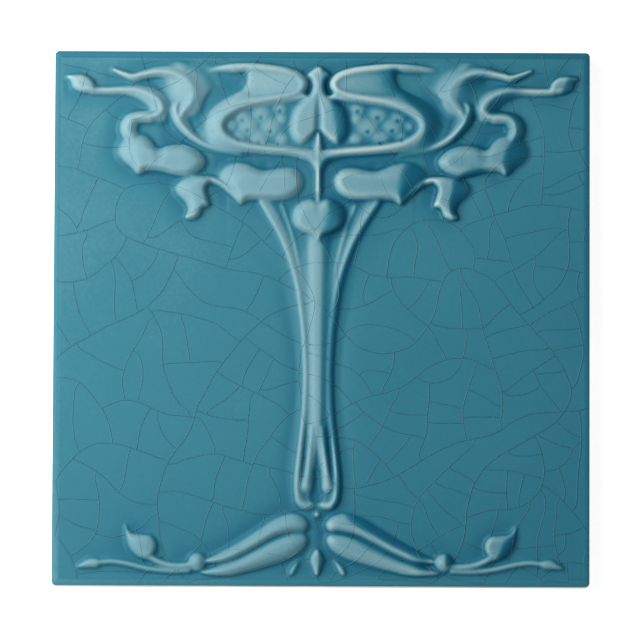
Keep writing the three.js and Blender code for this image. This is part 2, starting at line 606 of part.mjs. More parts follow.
function solidFrom(geometry) {
  const bare = new THREE.BufferGeometry();
  bare.setAttribute("position", geometry.getAttribute("position"));
  if (geometry.index) bare.setIndex(geometry.index);
  const merged = mergeVertices(bare, 1e-4);
  return new wasm.Manifold(new wasm.Mesh({
    numProp: 3,
    vertProperties: new Float32Array(merged.attributes.position.array),
    triVerts: new Uint32Array(merged.index.array),
  }));
}

function geometryFrom(solid) {
  const { vertProperties, triVerts } = solid.getMesh();
  const geometry = new THREE.BufferGeometry();
  geometry.setAttribute("position", new THREE.BufferAttribute(vertProperties, 3));
  geometry.setIndex(new THREE.BufferAttribute(triVerts, 1));
  return geometry;
}

function bodySolid() {
  const geometry = new THREE.BufferGeometry();
  geometry.setAttribute("position", new THREE.Float32BufferAttribute(tileBody().flat(2), 3));
  return solidFrom(geometry);
}

// The keying grooves run from side to side across the back and stop short of the edges.
function backGrooves() {
  const length = TILE_SIDE - 2 * GROOVE_END_MARGIN;
  const pitch = length / GROOVE_COUNT;
  return Array.from({ length: GROOVE_COUNT }, (_, i) => {
    const bar = new THREE.BoxGeometry(length, GROOVE_WIDTH, 2 * GROOVE_DEPTH);
    bar.translate(0, (i + 0.5) * pitch - length / 2, 0);
    return solidFrom(bar);
  });
}

const body = backGrooves().reduce((solid, groove) => solid.subtract(groove), bodySolid());

const glaze = new THREE.MeshStandardMaterial({ color: 0x4f8d9b, roughness: 0.2, metalness: 0 });
const tile = new THREE.Mesh(geometryFrom(body), glaze);
tile.name = "tile";

const object = new THREE.Group();
object.add(tile);

export default object;
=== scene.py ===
"""Decorative ceramic tile: a pressed and glazed wall tile with a mirrored plant ornament in low relief.

The fired tile is one piece. Its face is pressed here as a height map, covered with a glaze that runs
off the crests and gathers in the hollows, with painted shade and painted highlights in the glaze's depth,
and crossed by the fine crazing of an old glaze.
Drawn places are hundredths of the tile's side, measured from its middle; relief is in millimetres.
"""
from __future__ import annotations

import logging
import math
import random
from collections.abc import Callable, Iterable, Sequence
from dataclasses import dataclass, field
from enum import Enum

import bpy
import numpy as np
from mathutils import Matrix, Vector

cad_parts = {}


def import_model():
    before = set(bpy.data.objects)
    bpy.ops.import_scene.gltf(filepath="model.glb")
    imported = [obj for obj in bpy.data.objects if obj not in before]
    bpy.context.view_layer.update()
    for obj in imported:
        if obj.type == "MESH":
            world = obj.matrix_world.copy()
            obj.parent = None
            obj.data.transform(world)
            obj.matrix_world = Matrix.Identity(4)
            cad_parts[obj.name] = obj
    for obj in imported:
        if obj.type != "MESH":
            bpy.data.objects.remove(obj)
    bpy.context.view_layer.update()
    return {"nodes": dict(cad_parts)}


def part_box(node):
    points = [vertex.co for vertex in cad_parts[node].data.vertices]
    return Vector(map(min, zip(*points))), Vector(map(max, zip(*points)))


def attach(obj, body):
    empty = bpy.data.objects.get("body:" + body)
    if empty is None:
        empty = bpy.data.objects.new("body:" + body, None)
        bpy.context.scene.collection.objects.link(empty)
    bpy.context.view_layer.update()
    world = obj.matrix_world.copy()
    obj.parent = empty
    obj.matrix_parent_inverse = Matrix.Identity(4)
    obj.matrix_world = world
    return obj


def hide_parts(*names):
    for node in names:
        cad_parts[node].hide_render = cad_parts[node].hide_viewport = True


log = logging.getLogger("tile")

MM = 0.001
DRAWING_SPAN = 100.0
FAR_OFF = 9.0
NO_LENGTH = 1e-6
LEAST_GAP = 1e-4
BODY_THICKNESS = 8.6
CRAZE_MARGIN = 1.0
# Name of the glaze's depth at each point, with painted shade and painted highlights added into it.
GLAZE_DEPTH_AND_PAINTED_LIGHT = "glaze_depth"
LINE_WIDTH = "line_width"
Points = Sequence[Sequence[float]]
Colour = tuple[float, float, float]
Stops = Sequence[tuple[float, Colour]]


# Drawn lines

def smooth_line(points: Points, closed: bool, step: float = 0.22) -> np.ndarray:
    """Draw a centripetal Catmull-Rom curve through points.

    Args:
        points: Rows that start with a place; further values are carried along the curve.
        closed: True where the curve returns to its first point.
        step: Longest step between two points of the result, in drawing units.

    Returns:
        The curve's points, one row each.
    """
    given = np.array(points, float)
    count = len(given)
    spans = count if closed else count - 1
    rows = []
    for i in range(spans):
        before, start, end, after = (given[(i + k) % count] for k in (-1, 0, 1, 2))
        if not closed and i == 0:
            before = 2 * start - end
        if not closed and i == spans - 1:
            after = 2 * end - start
        legs = ((before, start), (start, end), (end, after))
        gaps = [max(math.dist(a[:2], b[:2]) ** 0.5, LEAST_GAP) for a, b in legs]
        leave = (start - before) / gaps[0] - (end - before) / (gaps[0] + gaps[1]) + (end - start) / gaps[1]
        arrive = (end - start) / gaps[1] - (after - start) / (gaps[1] + gaps[2]) + (after - end) / gaps[2]
        parts = max(2, math.ceil(math.dist(start[:2], end[:2]) / step))
        t = np.linspace(0, 1, parts, endpoint=False)[:, None]
        rows.append(
            (2 * t**3 - 3 * t**2 + 1) * start
            + (t**3 - 2 * t**2 + t) * leave * gaps[1]
            + (3 * t**2 - 2 * t**3) * end
            + (t**3 - t**2) * arrive * gaps[1]
        )
    if not closed:
        rows.append(given[-1:])
    return np.vstack(rows)


def mirrored(points: Points) -> list[Sequence[float]]:
    """Add the left half to an outline whose right half starts and ends on the middle line.

    Args:
        points: The right half, from one end on the middle line to the other.

    Returns:
        The whole outline.
    """
    left = [(-u, *rest) for u, *rest in reversed(points) if u > 0]
    return [*points, *left]


def soft_max(a: np.ndarray, b: np.ndarray, fillet: float) -> np.ndarray:
    """Take the higher of two height maps, with a fillet where they cross.

    Args:
        a: The first map.
        b: The second map.
        fillet: Height difference over which the fillet works, in millimetres.

    Returns:
        The joined map.
    """
    return np.maximum(a, b) + np.maximum(fillet - np.abs(a - b), 0) ** 2 / (4 * fillet)


def smooth_step(x: np.ndarray) -> np.ndarray:
    """Ease from 0 to 1 as x goes from 0 to 1."""
    t = np.clip(x, 0, 1)
    return t * t * (3 - 2 * t)


def blurred(values: np.ndarray, sigma: float) -> np.ndarray:
    """Blur a map evenly in both directions.

    Args:
        values: The map.
        sigma: Width of the blur, in cells.

    Returns:
        The blurred map.
    """
    reach = max(1, math.ceil(3 * sigma))
    weights = np.exp(-0.5 * (np.arange(-reach, reach + 1) / sigma) ** 2)
    weights /= weights.sum()
    result = values
    for axis in (0, 1):
        pads = [(reach, reach) if k == axis else (0, 0) for k in (0, 1)]
        padded = np.pad(result, pads, mode="edge")
        length = result.shape[axis]
        result = sum(w * padded.take(range(k, k + length), axis) for k, w in enumerate(weights))
    return result


# The height map

class Sheet:
    """The drawn half of the face as a height map, in millimetres above the field."""

    UNPRESSED = -3.0

    def __init__(self, cell: float, overlap: float) -> None:
        """Lay out the grid.

        Args:
            cell: Grid step, in drawing units.
            overlap: How far the half reaches over the middle line, in drawing units.
        """
        self.cell = cell
        half = DRAWING_SPAN / 2
        self.u = np.arange(-math.ceil(overlap / cell), math.ceil(half / cell) + 1) * cell
        self.v = np.arange(-math.ceil(half / cell), math.ceil(half / cell) + 1) * cell
        self.heights = np.full((len(self.v), len(self.u)), self.UNPRESSED)

    def window(self, line: np.ndarray, reach: float) -> tuple[slice, slice]:
        """Find the part of the grid around a line.

        Args:
            line: The line's points.
            reach: Margin around it, in drawing units.

        Returns:
            The rows and the columns of the part.
        """
        low = line[:, :2].min(axis=0) - reach
        high = line[:, :2].max(axis=0) + reach
        rows = slice(*np.searchsorted(self.v, (low[1], high[1])))
        columns = slice(*np.searchsorted(self.u, (low[0], high[0])))
        return rows, columns

    def places(self, part: tuple[slice, slice]) -> tuple[np.ndarray, np.ndarray]:
        """Give the places of the grid points in a part.

        Args:
            part: The part's rows and columns.

        Returns:
            The u and the v of each grid point.
        """
        u, v = np.meshgrid(self.u[part[1]], self.v[part[0]])
        return u, v

    def right_half(self) -> np.ndarray:
        """Give the heights from the middle line to the right edge."""
        return self.heights[:, self.u > -self.cell / 2]


def inside_of(line: np.ndarray, u: np.ndarray, v: np.ndarray) -> np.ndarray:
    """Tell which places lie inside a closed line.

    Args:
        line: The line's points.
        u: The places' u.
        v: The places' v.

    Returns:
        True for each place inside.
    """
    inside = np.zeros(u.shape, bool)
    for (au, av), (bu, bv) in zip(line[:, :2], np.roll(line, -1, axis=0)[:, :2]):
        if av != bv:
            inside ^= ((av > v) != (bv > v)) & (u < (bu - au) * (v - av) / (bv - av) + au)
    return inside


def segments(line: np.ndarray, closed: bool) -> Iterable[tuple[np.ndarray, np.ndarray]]:
    """Give the ends of each segment of a line that has any length.

    Args:
        line: The line's points.
        closed: True where the last point joins the first.

    Returns:
        Pairs of end points.
    """
    ends = np.roll(line, -1, axis=0) if closed else line[1:]
    return ((a, b) for a, b in zip(line, ends) if math.dist(a[:2], b[:2]) > NO_LENGTH)


def nearest_on(a: np.ndarray, b: np.ndarray, u: np.ndarray, v: np.ndarray) -> tuple[np.ndarray, ...]:
    """Measure places against a segment.

    Args:
        a: The segment's start.
        b: The segment's end.
        u: The places' u.
        v: The places' v.

    Returns:
        The distance, the share of the way along, and the side (positive to the left of the way).
    """
    du, dv = b[0] - a[0], b[1] - a[1]
    along = np.clip(((u - a[0]) * du + (v - a[1]) * dv) / (du * du + dv * dv), 0, 1)
    distance = np.hypot(u - a[0] - along * du, v - a[1] - along * dv)
    return distance, along, du * (v - a[1]) - dv * (u - a[0])


# Shapes that are pressed into the sheet

class Flank(Enum):
    """How a side of a ridge falls from its crest to its foot; the value is the curve's exponent."""

    ROUND = 1.9
    FULL = 1.45
    STRAIGHT = 1.1
    HOLLOW = 1.7

    def height(self, share: np.ndarray) -> np.ndarray:
        """Give the height that is left on the way to the foot; it goes on falling beyond the foot.

        Args:
            share: Share of the way from the crest to the foot.

        Returns:
            Share of the crest's height.
        """
        if self is Flank.HOLLOW:
            return np.where(share < 1, (1 - np.minimum(share, 1)) ** self.value, 1 - share)
        return 1 - share**self.value


@dataclass(frozen=True)
class Cushion:
    """A raised form inside an outline, whose points are place and shoulder width."""

    outline: Points
    height: float
    fullness: float = 1.9
    fall_from: float = DRAWING_SPAN
    fall: float = 0.0
    fillet: float = 0.4
    margin: float = 1.6
    outer_slope: float = 2.2
    least_distance: float = 0.04

    def press(self, sheet: Sheet) -> None:
        """Raise the form.

        Args:
            sheet: The sheet that it is pressed into.
        """
        line = smooth_line(self.outline, closed=True)
        part = sheet.window(line, self.margin)
        u, v = sheet.places(part)
        pull = np.zeros(u.shape)
        nearest = np.full(u.shape, FAR_OFF)
        for a, b in segments(line, closed=True):
            distance, along, _ = nearest_on(a, b, u, v)
            shoulder = a[2] + along * (b[2] - a[2])
            pull += math.dist(a[:2], b[:2]) * shoulder**4 / np.maximum(distance, self.least_distance) ** 5
            nearest = np.minimum(nearest, distance)
        # The pull of a straight edge is 4/3 of the fourth power of shoulder / distance.
        share = (0.75 * pull) ** -0.25
        crest = self.height - self.fall * np.maximum(u - self.fall_from, 0)
        raised = crest * (1 - (1 - np.minimum(share, 1)) ** self.fullness)
        raised = np.where(inside_of(line, u, v), raised, -self.outer_slope * nearest)
        sheet.heights[part] = soft_max(sheet.heights[part], raised, self.fillet)


@dataclass(frozen=True)
class Ridge:
    """A ridge along a path, whose points are place, width to the left, width to the right and height."""

    path: Points
    left: Flank = Flank.ROUND
    right: Flank = Flank.ROUND
    level: float = 0.0
    fillet: float = 0.3
    reach: float = 1.3

    def press(self, sheet: Sheet) -> None:
        """Raise the ridge.

        Args:
            sheet: The sheet that it is pressed into.
        """
        line = smooth_line(self.path, closed=False)
        part = sheet.window(line, float(line[:, 2:4].max()) * self.reach)
        u, v = sheet.places(part)
        raised = np.full(u.shape, Sheet.UNPRESSED)
        for a, b in segments(line, closed=False):
            distance, along, side = nearest_on(a, b, u, v)
            distance = np.maximum(distance - self.level, 0)
            wide_left, wide_right, high = (a[k] + along * (b[k] - a[k]) for k in (2, 3, 4))
            on_left = high * self.left.height(distance / wide_left)
            on_right = high * self.right.height(distance / wide_right)
            raised = np.maximum(raised, np.where(side > 0, on_left, on_right))
        sheet.heights[part] = soft_max(sheet.heights[part], raised, self.fillet)


@dataclass(frozen=True)
class Groove:
    """A soft groove along a path, whose points are place, half-width and depth."""

    path: Points

    def press(self, sheet: Sheet) -> None:
        """Cut the groove into what is raised already.

        Args:
            sheet: The sheet that it is pressed into.
        """
        line = smooth_line(self.path, closed=False)
        part = sheet.window(line, float(line[:, 2].max()))
        u, v = sheet.places(part)
        cut = np.zeros(u.shape)
        for a, b in segments(line, closed=False):
            distance, along, _ = nearest_on(a, b, u, v)
            share = np.minimum(distance / (a[2] + along * (b[2] - a[2])), 1)
            cut = np.maximum(cut, (a[3] + along * (b[3] - a[3])) * (1 - share**2) ** 2)
        sheet.heights[part] -= cut


@dataclass(frozen=True)
class Bed:
    """A sunk bed inside an outline, with a soft wall."""

    outline: Points
    level: float
    wall: float
    margin: float = 0.1

    def press(self, sheet: Sheet) -> None:
        """Sink the bed into what is raised already.

        Args:
            sheet: The sheet that it is pressed into.
        """
        line = smooth_line(self.outline, closed=True)
        part = sheet.window(line, self.margin)
        u, v = sheet.places(part)
        nearest = np.full(u.shape, FAR_OFF)
        for a, b in segments(line, closed=True):
            nearest = np.minimum(nearest, nearest_on(a, b, u, v)[0])
        sunk = smooth_step(np.where(inside_of(line, u, v), nearest / self.wall, 0))
        old = sheet.heights[part]
        sheet.heights[part] = old + (np.minimum(old, self.level) - old) * sunk


@dataclass(frozen=True)
class Dome:
    """A round dome."""

    place: tuple[float, float]
    radius: float
    height: float
    base: float = 0.0
    fillet: float = 0.15
    reach: float = 1.2

    def press(self, sheet: Sheet) -> None:
        """Raise the dome.

        Args:
            sheet: The sheet that it is pressed into.
        """
        part = sheet.window(np.array([self.place]), self.radius * self.reach)
        u, v = sheet.places(part)
        share = ((u - self.place[0]) ** 2 + (v - self.place[1]) ** 2) / self.radius**2
        raised = self.base + self.height * (1 - share)
        sheet.heights[part] = soft_max(sheet.heights[part], raised, self.fillet)


Shape = Cushion | Ridge | Groove | Bed | Dome


# The ornament

@dataclass
class Ornament:
    """The plant in relief: its right half, from the foot up. Heights are millimetres above the field."""

    seed_bed: float = 0.55
    seed_height: float = 0.45
    stem_rim: float = 1.2
    prong_height: float = 1.6
    stem_spine: float = 1.45
    rim_rise_from: float = -16.0
    rim_rise_over: float = 14.0
    cup_rim_height: float = 2.6
    horn: float = 2.1
    bud_height: float = 2.3
    keel_height: float = 2.2
    heart_height: float = 2.7
    leaf_height: float = 2.6
    flame_height: float = 2.2
    arch_height: float = 1.9
    ribbon_height: float = 2.3
    tendril_height: float = 1.0
    base_leaf_height: float = 2.2
    small_bud: float = 1.6
    trough_depth: float = 0.35
    trough_reach: float = 2.4
    trough_rise: float = 2.2
    trough_fillet: float = 0.5
    overlap: float = 6.0
    glaze_rounding: float = 0.2

    def base_leaf(self) -> list[Shape]:
        """Give the two-lobed leaf that lies along the foot.

        Returns:
            The shapes, in the order in which they are pressed.
        """
        upper = [
            (1.4, -38.6, 1.3), (2.2, -37.1, 1.7), (4.6, -36.2, 2.1), (8.0, -37.1, 2.4),
            (11.2, -39.0, 2.6), (14.8, -41.3, 2.6), (18.8, -43.6, 2.0), (22.0, -45.6, 1.0),
            (18.0, -45.9, 1.0), (14.0, -44.4, 1.1), (10.4, -42.5, 1.2), (7.4, -41.0, 1.3),
            (4.4, -40.3, 1.4), (2.2, -40.1, 1.3),
        ]
        lower = [
            (1.5, -41.4, 1.4), (2.2, -40.2, 1.6), (4.4, -40.0, 1.8), (7.6, -40.9, 1.8),
            (11.2, -42.7, 1.8), (15.2, -44.8, 1.6), (19.4, -46.3, 1.2), (22.4, -47.6, 0.8),
            (18.2, -48.5, 1.1), (13.2, -47.5, 1.5), (8.3, -46.2, 1.9), (4.4, -44.9, 2.0),
            (2.2, -43.2, 1.7),
        ]
        return [
            Cushion(lower, self.base_leaf_height * 0.9, fullness=1.7),
            Cushion(upper, self.base_leaf_height, fullness=1.7),
        ]

    def foot_tendril(self) -> list[Shape]:
        """Give the knob, the upright bud and the long tendril beside the base leaf.

        Returns:
            The shapes, in the order in which they are pressed.
        """
        bud = [
            (30.6, -43.9, 0.8), (30.4, -42.0, 0.8), (31.4, -40.6, 0.9), (33.2, -40.3, 1.2),
            (35.2, -39.9, 1.6), (36.3, -38.6, 0.5), (36.5, -41.0, 1.9), (35.8, -43.2, 1.9),
            (34.0, -44.9, 1.4), (32.0, -45.3, 0.9),
        ]
        tip = [
            (40.6, -45.5, 0.6), (41.8, -44.8, 0.8), (43.4, -44.9, 1.1), (45.4, -46.7, 0.4),
            (43.0, -46.9, 0.8), (41.2, -46.7, 0.7),
        ]
        stalk = [(31.6, -44.8), (29.0, -46.0), (26.5, -46.4), (24.2, -46.2)]
        tendril = [(24.4, -47.2), (28.0, -47.3), (32.0, -46.9), (36.5, -45.9), (39.0, -45.6), (41.0, -45.8)]
        return [
            Ridge([(u, v, 0.8, 0.8, self.tendril_height * 1.3) for u, v in stalk]),
            Cushion(bud, self.small_bud * 1.1),
            Ridge([(u, v, 0.75, 0.6, self.tendril_height) for u, v in tendril]),
            Cushion(tip, self.small_bud * 0.8),
            Dome((22.9, -45.6), 1.9, self.base_leaf_height),
        ]

    def foot_drops(self) -> list[Shape]:
        """Give the hanging drops under the foot, the middle one and the one beside it.

        Returns:
            The shapes, in the order in which they are pressed.
        """
        middle = [(0, -43.0, 0.6), (1.1, -44.0, 0.9), (1.5, -45.4, 1.1), (1.0, -46.8, 0.9), (0, -48.4, 0.4)]
        side = [(3.3, -45.2, 0.6), (4.6, -46.0, 0.9), (5.4, -47.4, 0.7), (5.1, -48.4, 0.3), (3.9, -47.4, 0.7)]
        return [Cushion(mirrored(middle), self.small_bud), Cushion(side, self.small_bud * 0.65)]

    def stem_outline(self) -> list[tuple[float, float]]:
        """Give the stem's right edge.

        Returns:
            Its points, from its top to its foot.
        """
        return [
            (13.6, 21.6), (11.5, 18.9), (9.7, 16.4), (8.1, 13.8), (6.8, 11.0), (5.8, 8.4), (4.9, 5.4),
            (4.25, 2.0), (3.7, -1.6), (3.3, -6.0), (3.1, -10.6), (3.2, -15.0), (3.5, -19.0), (4.0, -23.0),
            (4.5, -26.6), (4.95, -30.2), (4.85, -33.0), (4.0, -35.2), (2.4, -36.4), (1.0, -36.0),
        ]

    def rim_height(self, v: float) -> float:
        """Give the height of the stem's rim, which rises towards the foot.

        Args:
            v: The place along the stem.

        Returns:
            The height.
        """
        share = min(max((self.rim_rise_from - v) / self.rim_rise_over, 0.0), 1.0)
        return self.stem_rim + share * (self.prong_height - self.stem_rim)

    def stem(self) -> list[Shape]:
        """Give the fluted stem: its floor, the rims along its edges, the spine and the thin veins.

        Returns:
            The shapes, in the order in which they are pressed.
        """
        edge = self.stem_outline()
        floor = [
            (0, 23.5, 13.4, 0.3), (0, 19.0, 11.6, 0.4), (0, 14.0, 8.5, 0.55), (0, 9.0, 6.4, 0.8),
            (0, 3.0, 4.8, 0.95), (0, -4.0, 3.7, 1.0), (0, -13.0, 3.2, 1.0), (0, -22.0, 3.9, 0.9),
            (0, -29.0, 4.8, 0.8), (0, -32.5, 4.2, 0.7),
        ]
        waist, inset_there, widening = 3.2, 0.95, 0.18
        rim = []
        for u, v in edge[:-3]:
            inset = inset_there + widening * max(u - waist, 0)
            rim.append((u - inset, v, 0.8, inset * 1.05, self.rim_height(v)))
        rim += [
            (3.2, -34.3, 0.9, 1.3, self.prong_height), (2.2, -35.0, 0.9, 1.2, self.prong_height),
            (1.2, -34.9, 0.9, 1.0, self.prong_height * 0.8),
        ]
        spine = [
            (0.0, 18.0, 2.6), (0.0, 12.0, 2.4), (0.0, 4.0, 2.1), (0.0, -6.0, 1.85), (0.0, -16.0, 1.6),
            (0.0, -22.0, 1.2), (0.0, -28.0, 0.7),
        ]
        veins = [
            [(9.4, 21.8, 0.75), (7.4, 17.6, 0.8), (5.6, 13.0, 0.9), (4.1, 8.0, 0.95), (3.0, 1.0, 0.7)],
            [(6.8, 21.0, 0.75), (5.2, 16.6, 0.8), (3.9, 11.6, 0.9), (2.7, 5.0, 0.7)],
        ]
        shapes: list[Shape] = [Ridge([(u, v, w, w, high) for u, v, w, high in floor])]
        shapes.append(Ridge([(u, v, w, w, self.stem_spine) for u, v, w in spine], level=0.2))
        shapes += [Ridge([(u, v, 0.6, 0.6, high) for u, v, high in vein]) for vein in veins]
        shapes.append(Ridge(rim, Flank.ROUND, Flank.STRAIGHT, level=0.1))
        return shapes

    def stem_foot(self) -> list[Shape]:
        """Give the stem's foot: the prongs with their drops, the slots and the gap between them.

        Returns:
            The shapes, in the order in which they are pressed.
        """
        prong = [(0.9, -20.5, 0.8), (1.3, -25.0, 0.9), (1.7, -29.0, 1.0), (2.0, -31.6, 1.4)]
        high = self.prong_height
        slot = [
            (2.0, -18.0, 0.4, 0.1), (2.3, -23.5, 0.55, 0.7), (2.7, -29.6, 0.6, 0.9), (2.9, -32.4, 0.5, 0.2),
        ]
        gap = [(0, -22.0, 0.4, 0.2), (0, -27.0, 0.8, 1.3), (0, -31.0, 1.0, 1.8), (0, -33.2, 1.6, 2.2)]
        return [
            Groove(slot),
            Groove(gap),
            Ridge([(u, v, w, w, high) for u, v, w in prong]),
            Dome((0.0, -36.7), 0.75, 1.2),
        ]

    def stalk_and_heart(self) -> list[Shape]:
        """Give the thin stalk and the small heart that hangs from it over the stem.

        Returns:
            The shapes, in the order in which they are pressed.
        """
        heart = [
            (0, 22.0, 1.2), (1.3, 22.5, 1.6), (3.2, 22.1, 1.9), (4.8, 20.8, 2.2), (5.3, 18.9, 2.2),
            (4.6, 17.1, 1.2), (2.9, 15.9, 0.9), (1.2, 15.1, 0.8), (0, 13.8, 0.6),
        ]
        return [
            Ridge([(0, 31.0, 0.8, 0.8, 2.4), (0, 27.0, 0.7, 0.7, 2.2), (0, 20.0, 0.7, 0.7, 2.0)]),
            Cushion(mirrored(heart), self.heart_height),
            Groove([(0, 22.8, 0.9, 0.9), (0, 21.4, 0.9, 0.4), (0, 19.4, 0.7, 0.05)]),
        ]

    def inner_leaf(self) -> list[Shape]:
        """Give the kidney-shaped leaf between the stalk and the flame leaf.

        Returns:
            The shapes, in the order in which they are pressed.
        """
        outline = [
            (2.5, 25.2, 1.5), (2.9, 26.9, 1.5), (4.3, 28.2, 1.7), (6.4, 28.5, 1.8), (8.6, 28.2, 1.9),
            (10.2, 28.0, 1.7), (11.6, 28.3, 1.9), (13.4, 29.1, 2.3), (15.6, 29.5, 2.9), (17.9, 29.0, 3.8),
            (19.6, 27.4, 4.3), (19.8, 25.6, 4.1), (18.8, 24.1, 3.3), (17.2, 22.9, 2.2), (15.0, 21.0, 1.0),
            (13.4, 21.7, 1.4), (11.0, 21.7, 1.4), (8.0, 21.7, 1.3), (5.4, 22.0, 1.4), (3.4, 23.2, 1.5),
        ]
        return [
            Cushion(outline, self.leaf_height, fullness=1.5),
            Groove([(10.2, 28.4, 1.5, 0.25), (10.6, 26.8, 1.6, 0.15), (11.6, 25.0, 1.4, 0.05)]),
        ]

    def outer_leaf(self) -> list[Shape]:
        """Give the heart-shaped outer leaf, whose outer lobe falls away in a broad flank.

        Returns:
            The shapes, in the order in which they are pressed.
        """
        outline = [
            (21.4, 29.2, 1.7), (22.6, 31.2, 1.7), (24.7, 32.4, 1.8), (27.0, 32.7, 1.8), (29.2, 32.4, 1.6),
            (30.6, 32.2, 1.5), (31.6, 33.2, 2.0), (33.1, 34.4, 2.8), (35.2, 34.8, 3.4), (37.2, 34.0, 4.2),
            (38.5, 32.2, 4.5), (38.6, 30.4, 4.2), (37.4, 28.9, 3.0), (36.0, 27.9, 1.9), (34.4, 26.6, 1.0),
            (32.6, 27.2, 1.4), (30.2, 27.1, 1.2), (27.6, 26.4, 1.3), (25.0, 26.1, 1.5), (22.6, 27.2, 1.7),
        ]
        return [
            Cushion(outline, self.leaf_height, fullness=1.5),
            Groove([(30.6, 33.0, 1.4, 0.7), (30.3, 31.0, 1.5, 0.5), (30.6, 29.2, 1.3, 0.15)]),
        ]

    def flame_leaf(self) -> list[Shape]:
        """Give the hooked leaf and the arch that ties it to the inner leaf.

        Returns:
            The shapes, in the order in which they are pressed.
        """
        outline = [
            (20.2, 26.0, 0.8), (22.0, 26.7, 1.0), (24.6, 26.7, 1.8), (26.8, 25.9, 2.8), (27.9, 24.3, 3.2),
            (27.2, 22.7, 3.0), (25.8, 21.4, 2.3), (25.2, 20.1, 1.3), (25.6, 18.6, 0.4), (24.3, 18.2, 0.7),
            (22.8, 18.8, 0.8), (22.0, 20.4, 0.6), (20.9, 20.9, 0.5), (21.2, 22.6, 0.8), (21.5, 24.2, 0.8),
            (20.9, 25.1, 0.6),
        ]
        arch = [(15.4, 22.0, 0.5), (16.8, 23.5, 0.7), (18.5, 25.0, 0.8), (20.4, 25.8, 0.8), (22.4, 25.9, 0.8)]
        return [
            Ridge([(u, v, w, w, self.arch_height) for u, v, w in arch], Flank.FULL, Flank.FULL),
            Cushion(outline, self.flame_height),
        ]

    def horn_dish(self) -> list[Shape]:
        """Give the flower's body: the dished horn and the cup's flank, then the sunk seed bed.

        Returns:
            The shapes, in the order in which they are pressed.
        """
        body = [
            (2.8, 44.2, 0.6), (4.2, 45.7, 0.5), (8.6, 46.8, 0.5), (13.6, 47.2, 0.5), (18.6, 46.8, 0.4),
            (16.0, 46.0, 1.3), (15.0, 44.8, 2.2), (16.2, 43.4, 2.4), (19.3, 42.4, 2.8), (21.9, 41.1, 3.6),
            (23.4, 38.8, 4.4), (23.5, 36.4, 4.4), (22.6, 34.3, 3.6), (20.6, 32.9, 2.4), (17.4, 31.9, 1.5),
            (12.0, 30.9, 1.0), (6.4, 30.3, 1.0), (0, 29.0, 1.0), (-3.0, 31.0, 1.0), (-3.0, 41.0, 1.0),
            (2.4, 42.2, 0.6),
        ]
        bed = [
            (-3.9, 31.2), (2.0, 31.1), (5.3, 31.5), (9.8, 32.0), (13.8, 32.5), (16.6, 33.5), (17.9, 35.0),
            (18.0, 36.5), (16.9, 37.9), (14.4, 39.1), (10.5, 40.1), (6.6, 40.8), (3.3, 41.2), (-3.9, 41.1),
        ]
        return [
            Cushion(body, self.horn, fullness=1.4, fall_from=4.0, fall=0.1),
            Bed(bed, self.seed_bed, 0.8),
        ]

    def cup_rim(self) -> list[Shape]:
        """Give the raised rim that runs over the horn and round the seed bed down to the stalk.

        Returns:
            The shapes, in the order in which they are pressed.
        """
        high = self.cup_rim_height
        rim = [
            (21.0, 46.4, 0.5, 0.4, high * 0.1),
            (18.8, 46.8, 0.7, 0.4, high * 0.42), (16.2, 47.0, 1.0, 0.5, high * 0.68),
            (13.0, 47.0, 1.1, 0.6, high * 0.82), (9.2, 46.6, 1.1, 0.7, high * 0.92),
            (6.0, 46.0, 1.0, 0.8, high * 0.97), (3.9, 45.1, 0.9, 0.9, high), (3.0, 43.9, 0.9, 1.0, high),
            (3.6, 42.6, 0.9, 0.9, high), (5.7, 41.7, 1.0, 0.8, high), (9.5, 41.0, 1.2, 0.9, high),
            (13.2, 40.3, 2.2, 1.0, high), (16.3, 39.1, 4.6, 1.1, high), (18.4, 37.5, 5.3, 1.2, high),
            (19.0, 35.8, 4.8, 1.2, high), (18.3, 34.2, 3.5, 1.1, high), (16.3, 32.9, 2.0, 0.9, high * 0.97),
            (13.0, 32.0, 1.1, 0.75, high * 0.94), (9.0, 31.5, 0.9, 0.7, high * 0.9),
            (5.0, 31.1, 0.8, 0.7, high * 0.86), (2.4, 30.5, 0.8, 0.7, high * 0.82),
            (0.9, 29.6, 0.8, 0.8, high * 0.76), (0.1, 28.2, 0.75, 0.75, high * 0.7),
        ]
        return [Ridge(rim, Flank.STRAIGHT, Flank.FULL, level=0.3)]

    def seeds(self) -> list[Shape]:
        """Give the seeds in their bed, the larger ones with a small pit at their lower end.

        Returns:
            The shapes, in the order in which they are pressed.
        """
        rows = [
            (7.3, 39.3, 1.2), (10.9, 38.3, 1.6), (14.5, 37.6, 1.3), (7.0, 37.3, 1.0), (9.1, 35.8, 1.8),
            (13.5, 35.9, 1.7), (16.7, 36.0, 1.0), (6.9, 33.5, 1.1), (11.4, 33.5, 1.6), (15.2, 33.8, 1.2),
        ]
        domes: list[Shape] = [Dome((u, v), r * 1.22, self.seed_height, self.seed_bed) for u, v, r in rows]
        pits: list[Shape] = [
            Groove([(u - 0.12, v - 0.5 * r, 0.45, 0.55), (u + 0.12, v - 0.5 * r, 0.45, 0.55)])
            for u, v, r in rows if r > 1.1
        ]
        return domes + pits

